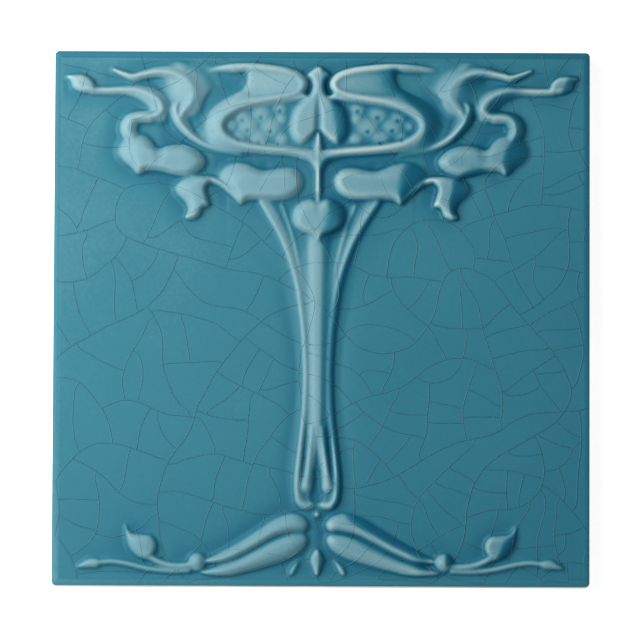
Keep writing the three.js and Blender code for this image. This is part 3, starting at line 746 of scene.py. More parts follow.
    def centre_bud(self) -> list[Shape]:
        """Give the two-lobed bud between the horns, its cap and the keel below it.

        Returns:
            The shapes, in the order in which they are pressed.
        """
        outline = [
            (0, 47.3, 0.9), (1.2, 46.7, 0.9), (2.3, 45.5, 0.7), (1.7, 44.6, 0.9), (1.4, 43.4, 0.9),
            (1.9, 42.1, 1.1), (3.3, 41.0, 1.4), (4.8, 39.6, 1.7), (5.6, 37.4, 1.8), (5.8, 35.2, 1.8),
            (5.0, 33.2, 1.7), (3.5, 32.2, 1.4), (2.2, 32.7, 1.1), (1.2, 33.7, 0.9), (0, 34.8, 0.6),
        ]
        keel = [(0, 34.6, 0.35), (0, 33.0, 0.8), (0, 31.6, 1.2), (0, 30.4, 0.9)]
        return [
            Cushion(mirrored(outline), self.bud_height),
            Groove([(0, 41.6, 0.5, 0.2), (0, 39.0, 0.8, 0.9), (0, 34.6, 0.9, 1.2)]),
            Ridge([(u, v, w, w, self.keel_height) for u, v, w in keel]),
        ]

    def fold(self, points: Points) -> Points:
        """Give a fold's path its heights, from shares of the ribbon's height."""
        return [(u, v, left, right, share * self.ribbon_height) for u, v, left, right, share in points]

    def inner_ribbon(self) -> list[Shape]:
        """Give the whiplash ribbon beside the horn: its long upper fold, then the lower one.

        Returns:
            The shapes, in the order in which they are pressed.
        """
        upper = [
            (39.0, 46.4, 0.25, 0.3, 0.5), (37.0, 45.6, 0.6, 0.5, 0.75), (35.3, 45.2, 0.95, 0.6, 0.85),
            (33.4, 45.6, 0.9, 0.8, 0.9), (31.0, 46.0, 1.0, 1.2, 0.96), (28.5, 45.9, 1.5, 1.8, 1.0),
            (26.6, 45.3, 2.4, 2.6, 1.0), (25.2, 44.4, 4.4, 4.0, 1.0), (24.3, 43.3, 6.4, 4.8, 1.0),
            (23.9, 42.1, 5.4, 4.8, 0.98), (24.2, 40.9, 3.8, 4.0, 0.95), (24.9, 39.7, 2.6, 3.4, 0.93),
            (25.8, 38.7, 1.7, 2.5, 0.93), (26.4, 37.6, 1.4, 2.3, 0.9),
        ]
        lower = [
            (26.8, 40.2, 0.8, 1.0, 0.6), (27.3, 39.4, 1.1, 1.5, 0.85), (27.3, 38.3, 1.2, 2.2, 0.95),
            (26.8, 37.0, 1.2, 2.5, 0.95), (26.0, 35.8, 1.1, 2.2, 0.9), (25.0, 34.7, 1.0, 1.6, 0.85),
            (23.8, 33.7, 0.9, 1.1, 0.75), (22.0, 32.6, 0.8, 0.8, 0.6), (19.0, 31.5, 0.7, 0.6, 0.4),
            (15.0, 30.7, 0.6, 0.5, 0.25),
        ]
        valley = [
            (14.2, 45.8, 1.2, 0.6), (15.6, 44.0, 1.9, 1.0), (17.3, 42.4, 2.3, 1.15), (19.6, 40.9, 2.6, 1.15),
            (21.4, 39.0, 2.4, 1.0), (22.0, 36.6, 2.0, 0.7), (21.0, 34.2, 1.6, 0.4),
        ]
        first, second = (
            Ridge(self.fold(points), Flank.STRAIGHT, Flank.HOLLOW, level=0.2) for points in (upper, lower)
        )
        return [first, Groove(valley), second]

    def outer_ribbon(self) -> list[Shape]:
        """Give the outer ribbon: its curl, the bud at its far end and the fold that meets the leaf.

        Returns:
            The shapes, in the order in which they are pressed.
        """
        curl = [
            (43.0, 42.6, 0.8, 0.7, 0.8), (40.0, 42.6, 0.85, 0.6, 0.7), (37.0, 42.7, 1.0, 0.8, 0.72),
            (34.8, 42.6, 1.5, 1.2, 0.82), (32.7, 42.0, 2.1, 1.7, 0.92), (31.0, 41.0, 2.6, 2.2, 1.0),
            (30.1, 39.9, 2.8, 2.2, 1.0), (29.9, 38.9, 2.6, 1.9, 0.97), (30.6, 38.0, 2.0, 1.4, 0.93),
            (31.9, 37.6, 1.3, 1.2, 0.9), (33.2, 37.6, 1.1, 1.2, 0.88),
        ]
        lower = [
            (32.2, 37.6, 1.1, 1.2, 0.9), (33.6, 37.6, 1.1, 1.2, 0.9), (34.9, 37.4, 1.1, 1.3, 0.9),
            (35.8, 36.8, 1.4, 1.7, 0.92), (36.3, 35.7, 1.6, 1.8, 0.9), (36.1, 34.6, 1.6, 1.7, 0.85),
            (35.5, 33.8, 1.4, 1.4, 0.75),
        ]
        bud = [
            (42.2, 43.2, 0.7), (42.9, 44.5, 0.7), (44.2, 45.4, 0.7), (46.0, 45.6, 0.8), (48.0, 45.1, 0.3),
            (47.3, 44.2, 1.3), (46.8, 42.9, 1.3), (45.4, 42.1, 0.8), (43.3, 41.9, 0.7), (42.0, 42.1, 0.7),
        ]
        return [
            Ridge(self.fold(curl), Flank.STRAIGHT, Flank.HOLLOW, level=0.25),
            Ridge(self.fold(lower), Flank.FULL, Flank.FULL, level=0.2),
            Cushion(bud, self.ribbon_height * 0.95),
        ]

    def shapes(self) -> list[Shape]:
        """Give all shapes in the order in which they are pressed.

        Returns:
            The shapes, in the order in which they are pressed.
        """
        steps: list[Callable[[], list[Shape]]] = [
            self.horn_dish, self.cup_rim, self.seeds, self.centre_bud, self.inner_ribbon, self.outer_ribbon,
            self.stem, self.stem_foot, self.stalk_and_heart, self.flame_leaf, self.inner_leaf,
            self.outer_leaf, self.base_leaf, self.foot_tendril, self.foot_drops,
        ]
        return [shape for step in steps for shape in step()]

    def pressed(self, cell: float) -> Sheet:
        """Press every shape, then sink the ground around them into a shallow trough.

        Args:
            cell: Grid step, in drawing units.

        Returns:
            The finished half sheet.
        """
        sheet = Sheet(cell, self.overlap)
        for shape in self.shapes():
            shape.press(sheet)
        covered = blurred((sheet.heights > 0).astype(float), self.trough_reach / cell)
        ground = -self.trough_depth * smooth_step(covered * self.trough_rise)
        sheet.heights = soft_max(sheet.heights, ground, self.trough_fillet)
        return sheet


# Node trees and shader expressions

class Value:
    """A node's socket that takes part in Python expressions."""

    def __init__(self, bench: "Bench", socket: bpy.types.NodeSocket) -> None:
        """Wrap a socket.

        Args:
            bench: The node tree being built.
            socket: The output socket.
        """
        self.bench = bench
        self.socket = socket

    def _math(self, operation: str, *operands: "Value | float") -> "Value":
        """Add a Math node and give its result."""
        inputs = dict(enumerate(operands))
        return self.bench.node("ShaderNodeMath", {"operation": operation}, inputs)[0]

    def __add__(self, other: "Value | float") -> "Value":
        """Give self + other."""
        return self._math("ADD", self, other)

    __radd__ = __add__

    def __sub__(self, other: "Value | float") -> "Value":
        """Give self - other."""
        return self._math("SUBTRACT", self, other)

    def __rsub__(self, other: "Value | float") -> "Value":
        """Give other - self."""
        return self._math("SUBTRACT", other, self)

    def __mul__(self, other: "Value | float") -> "Value":
        """Give self * other."""
        return self._math("MULTIPLY", self, other)

    __rmul__ = __mul__

    def clamped(self) -> "Value":
        """Keep the value between 0 and 1."""
        return self._math("MINIMUM", self._math("MAXIMUM", self, 0.0), 1.0)


class Bench:
    """A node tree being built, with one method for any node."""

    def __init__(self, tree: bpy.types.NodeTree) -> None:
        """Take the tree that gets the nodes."""
        self.tree = tree

    def node(self, kind: str, settings: dict[str, object], inputs: dict[int | str, object]) -> list[Value]:
        """Add a node.

        Args:
            kind: The node's type.
            settings: Its properties, set first; "stops" gives a ramp's positions and colours.
            inputs: Values or links, by socket index or name.

        Returns:
            The node's outputs.
        """
        made = self.tree.nodes.new(kind)
        for name, setting in settings.items():
            if name == "stops":
                self._set_stops(made.color_ramp, setting)
            else:
                setattr(made, name, setting)
        for key, value in inputs.items():
            if isinstance(value, Value):
                self.tree.links.new(value.socket, made.inputs[key])
            else:
                made.inputs[key].default_value = value
        return [Value(self, socket) for socket in made.outputs]

    @staticmethod
    def _set_stops(ramp: bpy.types.ColorRamp, stops: Stops) -> None:
        """Give a ramp its stops.

        Args:
            ramp: The ramp of a new node, which has two stops.
            stops: Positions and colours, in order.
        """
        for _ in stops[2:]:
            ramp.elements.new(1.0)
        for element, (position, colour) in zip(ramp.elements, stops):
            element.position = position
            element.color = (*colour, 1.0)


class MaterialBench(Bench):
    """A material being built."""

    def __init__(self, name: str) -> None:
        """Start a material with an empty node tree.

        Args:
            name: The material's name.
        """
        self.material = bpy.data.materials.new(name)
        self.material.use_nodes = True
        super().__init__(self.material.node_tree)
        self.tree.nodes.clear()

    def noise(self, place: Value, scale: float, detail: float, seed_w: float = 0.0) -> Value:
        """Add fractal noise on a place.

        Args:
            place: Where it is read, in metres.
            scale: Its fineness, in cells per metre.
            detail: How many finer layers it has.
            seed_w: Moves the pattern.

        Returns:
            The noise, around 0.5.
        """
        inputs = {"Vector": place, "W": seed_w, "Scale": scale, "Detail": detail}
        return self.node("ShaderNodeTexNoise", {"noise_dimensions": "4D"}, inputs)[0]

    def place(self) -> Value:
        """Give the place on the object."""
        return self.node("ShaderNodeTexCoord", {}, {})[3]

    def attribute(self, name: str) -> Value:
        """Give a number that the mesh stores at its points under a name."""
        return self.node("ShaderNodeAttribute", {"attribute_name": name}, {})[2]

    def ramp(self, value: Value, stops: Stops) -> Value:
        """Turn a value from 0 to 1 into a colour, by positions and colours."""
        return self.node("ShaderNodeValToRGB", {"stops": stops}, {0: value})[0]

    def bump(self, height: Value, strength: float, distance: float) -> Value:
        """Roughen the surface's normal by a height.

        Args:
            height: The height, from 0 to 1.
            strength: The bump's strength.
            distance: What a height of 1 stands for, in metres.

        Returns:
            The normal.
        """
        inputs = {"Strength": strength, "Distance": distance, "Height": height}
        return self.node("ShaderNodeBump", {}, inputs)[0]

    def surface(self, inputs: dict[int | str, object]) -> bpy.types.Material:
        """Finish the material with a Principled surface.

        Args:
            inputs: The surface's sockets.

        Returns:
            The material.
        """
        shader = self.node("ShaderNodeBsdfPrincipled", {}, inputs)[0]
        self.node("ShaderNodeOutputMaterial", {}, {"Surface": shader})
        return self.material


@dataclass(frozen=True)
class GlazeFinish:
    """A translucent coloured glaze over a pale body: pale where it is thin, deep where it gathers; the
    painted shade and painted highlights in its depth reach the deep and the thin colours.
    """

    # From the thinnest glaze to the deepest; painted crest highlights reach the thin colour, painted flank
    # shade the deep ones.
    thin: Colour = (0.36, 0.49, 0.48)
    light: Colour = (0.165, 0.325, 0.37)
    field: Colour = (0.029, 0.18, 0.237)
    deep: Colour = (0.004, 0.11, 0.18)
    pool: Colour = (0.0035, 0.065, 0.135)
    light_at: float = 0.18
    field_at: float = 0.45
    deep_at: float = 0.70
    roughness: float = 0.46
    mottle_scale: float = 900.0
    mottle_detail: float = 3.0
    mottle_depth: float = 0.09
    mottle_roughness: float = 0.10
    cloud_scale: float = 28.0
    cloud_detail: float = 2.0
    cloud_seed: float = 4.0
    cloud_depth: float = 0.13
    ripple_scale: float = 420.0
    ripple_detail: float = 2.0
    ripple_seed: float = 9.0
    ripple_strength: float = 0.05
    ripple_height: float = 0.4 * MM
    ior: float = 1.5
    specular: float = 0.2

    def material(self, name: str) -> bpy.types.Material:
        """Build the glaze.

        Args:
            name: The material's name.

        Returns:
            The material.
        """
        bench = MaterialBench(name)
        place = bench.place()
        mottle = bench.noise(place, self.mottle_scale, self.mottle_detail) - 0.5
        cloud = bench.noise(place, self.cloud_scale, self.cloud_detail, self.cloud_seed) - 0.5
        # The glaze's depth with its painted shade and painted highlights, plus random mottle and clouds.
        depth = bench.attribute(GLAZE_DEPTH_AND_PAINTED_LIGHT) + mottle * self.mottle_depth + cloud * self.cloud_depth
        ripple = bench.noise(place, self.ripple_scale, self.ripple_detail, self.ripple_seed)
        stops = [
            (0.0, self.thin), (self.light_at, self.light), (self.field_at, self.field),
            (self.deep_at, self.deep), (1.0, self.pool),
        ]
        return bench.surface({
            "Base Color": bench.ramp(depth.clamped(), stops),
            "Roughness": self.roughness + mottle * self.mottle_roughness,
            "Normal": bench.bump(ripple, self.ripple_strength, self.ripple_height),
            "IOR": self.ior,
            "Specular IOR Level": self.specular,
        })


@dataclass(frozen=True)
class BiscuitFinish:
    """The bare fired body on the sides and the back: a pale, dry, faintly speckled clay."""

    pale: Colour = (0.62, 0.56, 0.52)
    warm: Colour = (0.46, 0.40, 0.36)
    pale_at: float = 0.6
    roughness: float = 0.85
    grain_scale: float = 1400.0
    grain_seed: float = 2.0
    grain_part: float = 0.5
    grain_strength: float = 0.25
    grain_height: float = 0.3 * MM
    stain_scale: float = 60.0
    stain_seed: float = 5.0
    stain_part: float = 1.4
    stain_least: float = 0.25
    detail: float = 4.0

    def material(self, name: str) -> bpy.types.Material:
        """Build the bare body.

        Args:
            name: The material's name.

        Returns:
            The material.
        """
        bench = MaterialBench(name)
        place = bench.place()
        grain = bench.noise(place, self.grain_scale, self.detail, self.grain_seed)
        stain = bench.noise(place, self.stain_scale, self.detail, self.stain_seed)
        mix = stain * self.stain_part - self.stain_least + (grain - 0.5) * self.grain_part
        return bench.surface({
            "Base Color": bench.ramp(mix.clamped(), [(0.0, self.warm), (self.pale_at, self.pale)]),
            "Roughness": self.roughness,
            "Normal": bench.bump(grain, self.grain_strength, self.grain_height),
        })


@dataclass(frozen=True)
class CrazeFinish:
    """The hairlines of the crazed glaze, in colours close to those of the glaze around them, its painted
    shade and painted highlights included.
    """

    thin: Colour = (0.29, 0.46, 0.47)
    light: Colour = (0.18, 0.36, 0.41)
    field: Colour = (0.033, 0.185, 0.245)
    pool: Colour = (0.005, 0.06, 0.12)
    light_at: float = 0.18
    field_at: float = 0.45
    roughness: float = 0.45

    def material(self, name: str) -> bpy.types.Material:
        """Build the hairlines' finish.

        Args:
            name: The material's name.

        Returns:
            The material.
        """
        bench = MaterialBench(name)
        stops = [(0.0, self.thin), (self.light_at, self.light), (self.field_at, self.field), (1.0, self.pool)]
        colour = bench.ramp(bench.attribute(GLAZE_DEPTH_AND_PAINTED_LIGHT).clamped(), stops)
        return bench.surface({"Base Color": colour, "Roughness": self.roughness})


# The tile's face as a mesh

@dataclass
class FaceGrid:
    """The whole face as a square height map, from which triangles are taken."""

    half: float
    heights: np.ndarray
    depth: np.ndarray

    @property
    def steps(self) -> int:
        """Give the number of grid steps along a side."""
        return self.heights.shape[0] - 1

    @property
    def spacing(self) -> float:
        """Give the grid step, in millimetres."""
        return 2 * self.half / self.steps

    def corners(self) -> np.ndarray:
        """Give the two triangles that halve the face, as a, b, c with the long side a-b."""
        n = self.steps
        return np.array([[0, 0, n, n, n, 0], [n, n, 0, 0, 0, n]])

    @staticmethod
    def halves(triangles: np.ndarray) -> np.ndarray:
        """Halve each triangle from its right angle to the middle of its long side.

        Args:
            triangles: The triangles, as a, b, c with the long side a-b.

        Returns:
            Their halves, in the same form.
        """
        ax, ay, bx, by, cx, cy = triangles.T
        mx, my = (ax + bx) // 2, (ay + by) // 2
        first = np.stack([cx, cy, ax, ay, mx, my], axis=1)
        second = np.stack([bx, by, cx, cy, mx, my], axis=1)
        return np.concatenate([first, second])

    def errors(self) -> np.ndarray:
        """Measure, for each grid point, what halving the triangles on it would mend.

        Returns:
            The errors, in millimetres.
        """
        levels = [self.corners()]
        for _ in range(2 * int(math.log2(self.steps))):
            levels.append(self.halves(levels[-1]))
        errors = np.zeros(self.heights.shape)
        for level in reversed(levels[:-1]):
            ax, ay, bx, by, cx, cy = level.T
            mx, my = (ax + bx) // 2, (ay + by) // 2
            own = np.abs((self.heights[ay, ax] + self.heights[by, bx]) / 2 - self.heights[my, mx])
            if np.abs(ax[0] - bx[0]) + np.abs(ay[0] - by[0]) > 2:
                for px, py in ((ax, ay), (bx, by)):
                    own = np.maximum(own, errors[(py + cy) // 2, (px + cx) // 2])
            np.maximum.at(errors, (my, mx), own)
        return errors

    def triangles(self, allowed: float) -> np.ndarray:
        """Take the fewest triangles that follow the height map.

        Args:
            allowed: Largest error, in millimetres.

        Returns:
            Grid indices of each triangle's corners, facing up.
        """
        errors = self.errors()
        open_ones = self.corners()
        done = []
        while len(open_ones):
            ax, ay, bx, by, cx, cy = open_ones.T
            error = errors[(ay + by) // 2, (ax + bx) // 2]
            split = (np.abs(ax - cx) + np.abs(ay - cy) > 1) & (error > allowed)
            done.append(open_ones[~split])
            open_ones = self.halves(open_ones[split])
        ax, ay, bx, by, cx, cy = np.concatenate(done).T
        across = self.steps + 1
        return np.stack([ay * across + ax, cy * across + cx, by * across + bx], axis=1)

    def normals(self) -> np.ndarray:
        """Work out how the surface lies.

        Returns:
            Its normal at each grid point.
        """
        down, along = np.gradient(self.heights, self.spacing)
        normals = np.stack([-along, -down, np.ones_like(along)], axis=-1)
        return normals / np.linalg.norm(normals, axis=-1, keepdims=True)


@dataclass
class MeshParts:
    """Points and triangles that are collected for one mesh; the bare ones carry no glaze."""

    points: list[np.ndarray] = field(default_factory=list)
    faces: list[np.ndarray] = field(default_factory=list)
    bare: list[np.ndarray] = field(default_factory=list)
    count: int = 0

    def add(self, points: np.ndarray, faces: np.ndarray | None = None, glazed: bool = False) -> int:
        """Add points, and triangles on them.

        Args:
            points: The points, in millimetres.
            faces: The triangles, as indices into these points.
            glazed: True where the triangles carry glaze.

        Returns:
            The index that the first of the points got.
        """
        first = self.count
        self.points.append(points)
        self.count += len(points)
        if faces is not None:
            self.add_faces(faces + first, glazed)
        return first

    def add_faces(self, faces: np.ndarray, glazed: bool = False) -> None:
        """Add triangles on points that are there already.

        Args:
            faces: The triangles, as indices into all points.
            glazed: True where they carry glaze.
        """
        self.faces.append(faces)
        self.bare.append(np.full(len(faces), not glazed))

    def all_points(self) -> np.ndarray:
        """Give all points so far, one row each."""
        return np.concatenate(self.points)


def quad(a: int, b: int, c: int, d: int) -> np.ndarray:
    """Give the two triangles of a four-sided face."""
    return np.array([(a, b, c), (a, c, d)])


def belt(low: int, high: int, size: int) -> np.ndarray:
    """Join two rings of as many points.

    Args:
        low: Index of the lower ring's first point.
        high: Index of the upper ring's first point.
        size: Points in each ring.

    Returns:
        The triangles, facing outwards.
    """
    here = np.arange(size)
    after = (here + 1) % size
    lower = np.stack([low + here, low + after, high + after], axis=1)
    upper = np.stack([low + here, high + after, high + here], axis=1)
    return np.concatenate([lower, upper])


def level_band(points: np.ndarray, outer: np.ndarray, inner: np.ndarray) -> np.ndarray:
    """Close the level band between two rings of any number of points.

    Args:
        points: All points.
        outer: Indices of the outer ring.
        inner: Indices of the inner ring.

    Returns:
        The triangles, facing up.
    """
    angle = np.arctan2(points[:, 1], points[:, 0])
    outer = outer[np.argsort(angle[outer])]
    inner = inner[np.argsort(angle[inner])]

    def angle_at(ring: np.ndarray, k: int) -> float:
        """Give the angle of a ring's point, going on past a full turn.

        Args:
            ring: Indices of the ring's points.
            k: Which of them, counted from 0.

        Returns:
            The angle, in radians.
        """
        return float(angle[ring[k % len(ring)]]) + (2 * math.pi if k >= len(ring) else 0.0)

    faces = []
    i = j = 0
    while i < len(outer) or j < len(inner):
        a, b = outer[i % len(outer)], inner[j % len(inner)]
        outer_next = j >= len(inner) or angle_at(outer, i + 1) < angle_at(inner, j + 1)
        if outer_next and i < len(outer):
            i += 1
            faces.append((a, outer[i % len(outer)], b))
        else:
            j += 1
            faces.append((a, inner[j % len(inner)], b))
    return np.array(faces)


@dataclass(frozen=True)
class GlazeAndPaintedLight:
    """How the glaze lies over the relief, with painted shade and painted highlights in its depth: reaches in
    millimetres, depths as shares of the deepest.

    The glaze draws off the crests and fills the hollows. Towards the right, painted shade darkens the flanks
    that face right and the fine hollows, where the glaze also gathers, and dims the raised parts' pale, while
    painted highlights lighten the crests; the whole face is painted a little darker towards the foot and the
    right.
    """

    field: float = 0.46
    fine_reach: float = 0.9
    broad_reach: float = 4.0
    # Weight of the painted shade and painted highlights, growing from the left to the right.
    shade_side_least: float = 0.15
    shade_side_most: float = 0.85
    shade_side_from: float = -5.0
    shade_side_over: float = 9.0
    raised_from: float = -0.1
    raised_over: float = 0.45
    near_reach: float = 0.85
    near_part: float = 0.6
    near_least: float = -0.1
    wide_reach: float = 2.0
    wide_part: float = 0.7
    mass_reach: float = 3.4
    # Painted shade on the flanks that face right.
    flank_shade_from: float = 0.05
    flank_shade_over: float = 0.36
    flank_shade_depth: float = 0.25
    pool_depth: float = 0.16
    pool_eased: float = 0.85
    pool_slope: float = 0.07
    thin_from: float = 0.15
    thin_over: float = 1.0
    clearing: float = 0.25
    # Painted shade: the raised parts grow less pale towards the right.
    clearing_shade_side: float = 0.02
    clearing_shade_right: float = 0.08
    crest_least: float = 0.06
    # Thin glaze on all crests, plus a painted highlight on them that grows towards the right.
    crest_highlight: float = 0.4
    # Glaze gathered in fine hollows, with painted shade that grows towards the right.
    hollow_pool_and_shade: float = 0.65
    shift: float = 0.012
    # Painted shade: the face grows darker towards the foot and the right.
    foot_shade: float = 0.04
    right_shade: float = 0.03

    @staticmethod
    def facing_right(heights: np.ndarray, reach: float, spacing: float) -> np.ndarray:
        """Measure how steeply the relief falls to the right.

        Args:
            heights: The relief, in millimetres.
            reach: Width of the blur that leaves smaller forms out, in millimetres.
            spacing: The grid step, in millimetres.

        Returns:
            The slope at each grid point.
        """
        return -np.gradient(blurred(heights, reach / spacing), spacing, axis=1)

    def depth(self, heights: np.ndarray, places: np.ndarray, half: float) -> np.ndarray:
        """Lay the glaze over the relief and paint shade and highlights into its depth.

        Args:
            heights: The relief above the field, in millimetres.
            places: The places of the grid's rows and columns, in millimetres.
            half: Half the face's side, in millimetres.

        Returns:
            The glaze's depth at each grid point, with the painted shade and painted highlights.
        """
        spacing = 2 * half / (len(places) - 1)
        fine = blurred(heights, self.fine_reach / spacing) - heights
        broad = blurred(heights, self.broad_reach / spacing) - heights
        crest, hollow = np.maximum(-fine, 0), np.maximum(fine, 0)
        # Weight of the painted shade and painted highlights, growing from the left to the right.
        shade_side = self.shade_side_least + self.shade_side_most * smooth_step((places - self.shade_side_from) / self.shade_side_over)[None, :]
        raised = smooth_step((heights - self.raised_from) / self.raised_over)
        near = np.maximum(self.facing_right(heights, self.near_reach, spacing), self.near_least)
        wide = self.facing_right(heights, self.wide_reach, spacing)
        mass = self.facing_right(heights, self.mass_reach, spacing)
        slope = self.near_part * near + self.wide_part * wide + mass
        # Painted shade: deeper glaze colour on the flanks that face right, weighted towards the right.
        flank_shade = smooth_step((slope - self.flank_shade_from) / self.flank_shade_over) * shade_side * raised
        pool = np.maximum(broad, 0) * (1 - self.pool_eased * smooth_step(mass / self.pool_slope))
        # The pale of thin glaze on raised parts, taken away where the flank shade is painted.
        thin = smooth_step((heights - self.thin_from) / self.thin_over) * (1 - flank_shade)
        share = places / half
        rightward = np.maximum(share, 0)[None, :]
        # Painted shade: the raised parts' pale dims towards the right.
        clearing = self.clearing - self.clearing_shade_side * shade_side - self.clearing_shade_right * rightward
        depth = self.field - clearing * thin + self.flank_shade_depth * flank_shade
        # Thin glaze on the crests, with a painted highlight that grows towards the right.
        depth -= (self.crest_least + self.crest_highlight * shade_side) * crest
        # Glaze gathered in fine hollows, with painted shade growing towards the right, and glaze pooled
        # around the forms.
        depth += self.hollow_pool_and_shade * shade_side * raised * hollow + self.pool_depth * pool
        # Painted shade: a little darker towards the foot and the right.
        depth += self.shift - self.foot_shade * share[:, None] + self.right_shade * share[None, :]
        return depth


@dataclass
class GlazedTile:
    """The fired tile: its face, edges, sides and back, in one closed mesh.

    Sizes are in millimetres, but the sheet's cell and the lean are in drawing units.
    """

    side: float
    thickness: float
    ornament: Ornament
    corner_radius: float = 1.2
    least_radius: float = 0.3
    edge_width: float = 2.1
    edge_drop: float = 0.55
    edge_glaze: float = 0.5
    # Painted shade along the top edge and a painted highlight along the left one.
    top_edge_shade: float = 0.12
    left_edge_highlight: float = 0.1
    back_chamfer: float = 0.6
    groove_count: int = 7
    groove_width: float = 8.0
    groove_depth: float = 1.1
    groove_end_margin: float = 14.0
    sheet_cell: float = 0.16
    face_steps: int = 512
    face_error: float = 0.006
    calm_border: float = 1.5
    arc_steps: int = 8
    lean: float = 0.72
    lean_reach: float = 15.0

    def ring(self, inset: float, z: float) -> np.ndarray:
        """Give a rounded square that lies inset from the tile's outline.

        Args:
            inset: Distance from the outline, in millimetres.
            z: Its level.

        Returns:
            Its points, counter-clockwise.
        """
        radius = max(self.corner_radius - inset, self.least_radius)
        centre = self.side / 2 - inset - radius
        points = []
        for corner, (x_side, y_side) in enumerate([(1, 1), (-1, 1), (-1, -1), (1, -1)]):
            for k in range(self.arc_steps + 1):
                turn = (corner + k / self.arc_steps) * math.pi / 2
                x = x_side * centre + radius * math.cos(turn)
                y = y_side * centre + radius * math.sin(turn)
                points.append((x, y, z))
        return np.array(points)

    def laid_out(self, places: np.ndarray) -> np.ndarray:
        """Read the pressed half sheet on both sides of the ornament's axis.

        Args:
            places: The places of the face's rows and columns, in drawing units.

        Returns:
            The relief at each grid point, in millimetres.
        """
        sheet = self.ornament.pressed(self.sheet_cell)
        half_map = sheet.right_half()
        drawn = places + self.lean * np.exp(-((places / self.lean_reach) ** 2))
        # A column needs one to its right, so the last one is kept a hair short of the map's edge.
        last = half_map.shape[1] - 1.001
        columns = np.minimum(np.abs(drawn) / sheet.cell, last)
        rows = (places - sheet.v[0]) / sheet.cell
        left, low = np.floor(columns).astype(int), np.floor(rows).astype(int)
        across, up = (columns - left)[None, :], (rows - low)[:, None]
        lower = half_map[low][:, left] * (1 - across) + half_map[low][:, left + 1] * across
        upper = half_map[low + 1][:, left] * (1 - across) + half_map[low + 1][:, left + 1] * across
        return lower * (1 - up) + upper * up

    def face_grid(self) -> FaceGrid:
        """Lay the ornament out over the whole face and work out the glaze's depth, painted shade and
        highlights included.

        Returns:
            The face.
        """
        half = self.side / 2 - self.edge_width
        unit = self.side / DRAWING_SPAN
        spacing = 2 * half / self.face_steps
        places = np.linspace(-half, half, self.face_steps + 1) / unit
        heights = blurred(self.laid_out(places), self.ornament.glaze_rounding * unit / spacing)
        calm = smooth_step((half - np.abs(places * unit)) / self.calm_border)
        heights = heights * np.minimum(calm[None, :], calm[:, None])
        return FaceGrid(half, heights, GlazeAndPaintedLight().depth(heights, places * unit, half))

    def build(self) -> bpy.types.Object:
        """Build the tile's mesh.

        Returns:
            The tile.
        """
        grid = self.face_grid()
        log.info("relief from %.2f to %.2f mm", grid.heights.min(), grid.heights.max())
        used, faces = np.unique(grid.triangles(self.face_error), return_inverse=True)
        across = grid.steps + 1
        i, j = used % across, used // across
        x, y = i * grid.spacing - grid.half, j * grid.spacing - grid.half
        face = np.stack([x, y, self.thickness + grid.heights[j, i]], axis=1)
        parts = MeshParts()
        parts.add(face, faces.reshape(-1, 3), glazed=True)
        border = np.flatnonzero((i == 0) | (j == 0) | (i == grid.steps) | (j == grid.steps))
        rings = self.side_rings()
        starts = [parts.add(ring) for ring in rings]
        size = len(rings[0])
        for step, (low, high) in enumerate(zip(starts, starts[1:])):
            glazed = step >= len(rings) - 1 - self.arc_steps
            parts.add_faces(belt(low, high, size), glazed)
        top = starts[-1] + np.arange(size)
        parts.add_faces(level_band(parts.all_points(), top, border), glazed=True)
        self.close_back(parts, starts[0] + np.arange(size))
        depth = self.edge_depth(parts.all_points())
        depth[: len(used)] = grid.depth[j, i]
        return self.meshed(parts, grid.normals()[j, i], depth)

    def edge_depth(self, points: np.ndarray) -> np.ndarray:
        """Give the glaze's depth on the tile's edges, with painted shade along the top and a painted
        highlight along the left.

        Args:
            points: The mesh's points.

        Returns:
            The depth at each of them.
        """
        band = self.side / 2 - self.edge_width
        top, left = points[:, 1] > band, points[:, 0] < -band
        # Painted shade deepens the top edge; a painted highlight thins the left edge.
        return self.edge_glaze + self.top_edge_shade * top - self.left_edge_highlight * left

    def close_back(self, parts: MeshParts, ring: np.ndarray) -> None:
        """Close the back with its keying grooves.

        Args:
            parts: The mesh being collected.
            ring: Indices of the points around the back.
        """
        length = self.side - 2 * self.groove_end_margin
        pitch = length / self.groove_count
        half, deep = length / 2, self.groove_depth
        middles = (np.arange(self.groove_count) + 0.5) * pitch - half
        sides = np.stack([middles - self.groove_width / 2, middles + self.groove_width / 2], axis=1)
        levels = np.concatenate([[-half], sides.ravel(), [half]])
        rows = len(levels)
        left = parts.add(np.array([(-half, y, 0.0) for y in levels]))
        right = parts.add(np.array([(half, y, 0.0) for y in levels]))
        inner = np.concatenate([left + np.arange(rows), right + np.arange(rows)])
        parts.add_faces(level_band(parts.all_points(), ring, inner)[:, ::-1])
        for k in range(0, rows, 2):
            parts.add_faces(quad(left + k, left + k + 1, right + k + 1, right + k))
        for groove, (low, high) in enumerate(sides):
            a, b = left + 2 * groove + 1, right + 2 * groove + 1
            ends = [(-half, low, deep), (half, low, deep), (half, high, deep), (-half, high, deep)]
            floor = parts.add(np.array(ends))
            rim = (a, b, b + 1, a + 1)
            for k in range(4):
                after = (k + 1) % 4
                parts.add_faces(quad(rim[k], floor + k, floor + after, rim[after]))
            parts.add_faces(quad(floor, floor + 3, floor + 2, floor + 1))

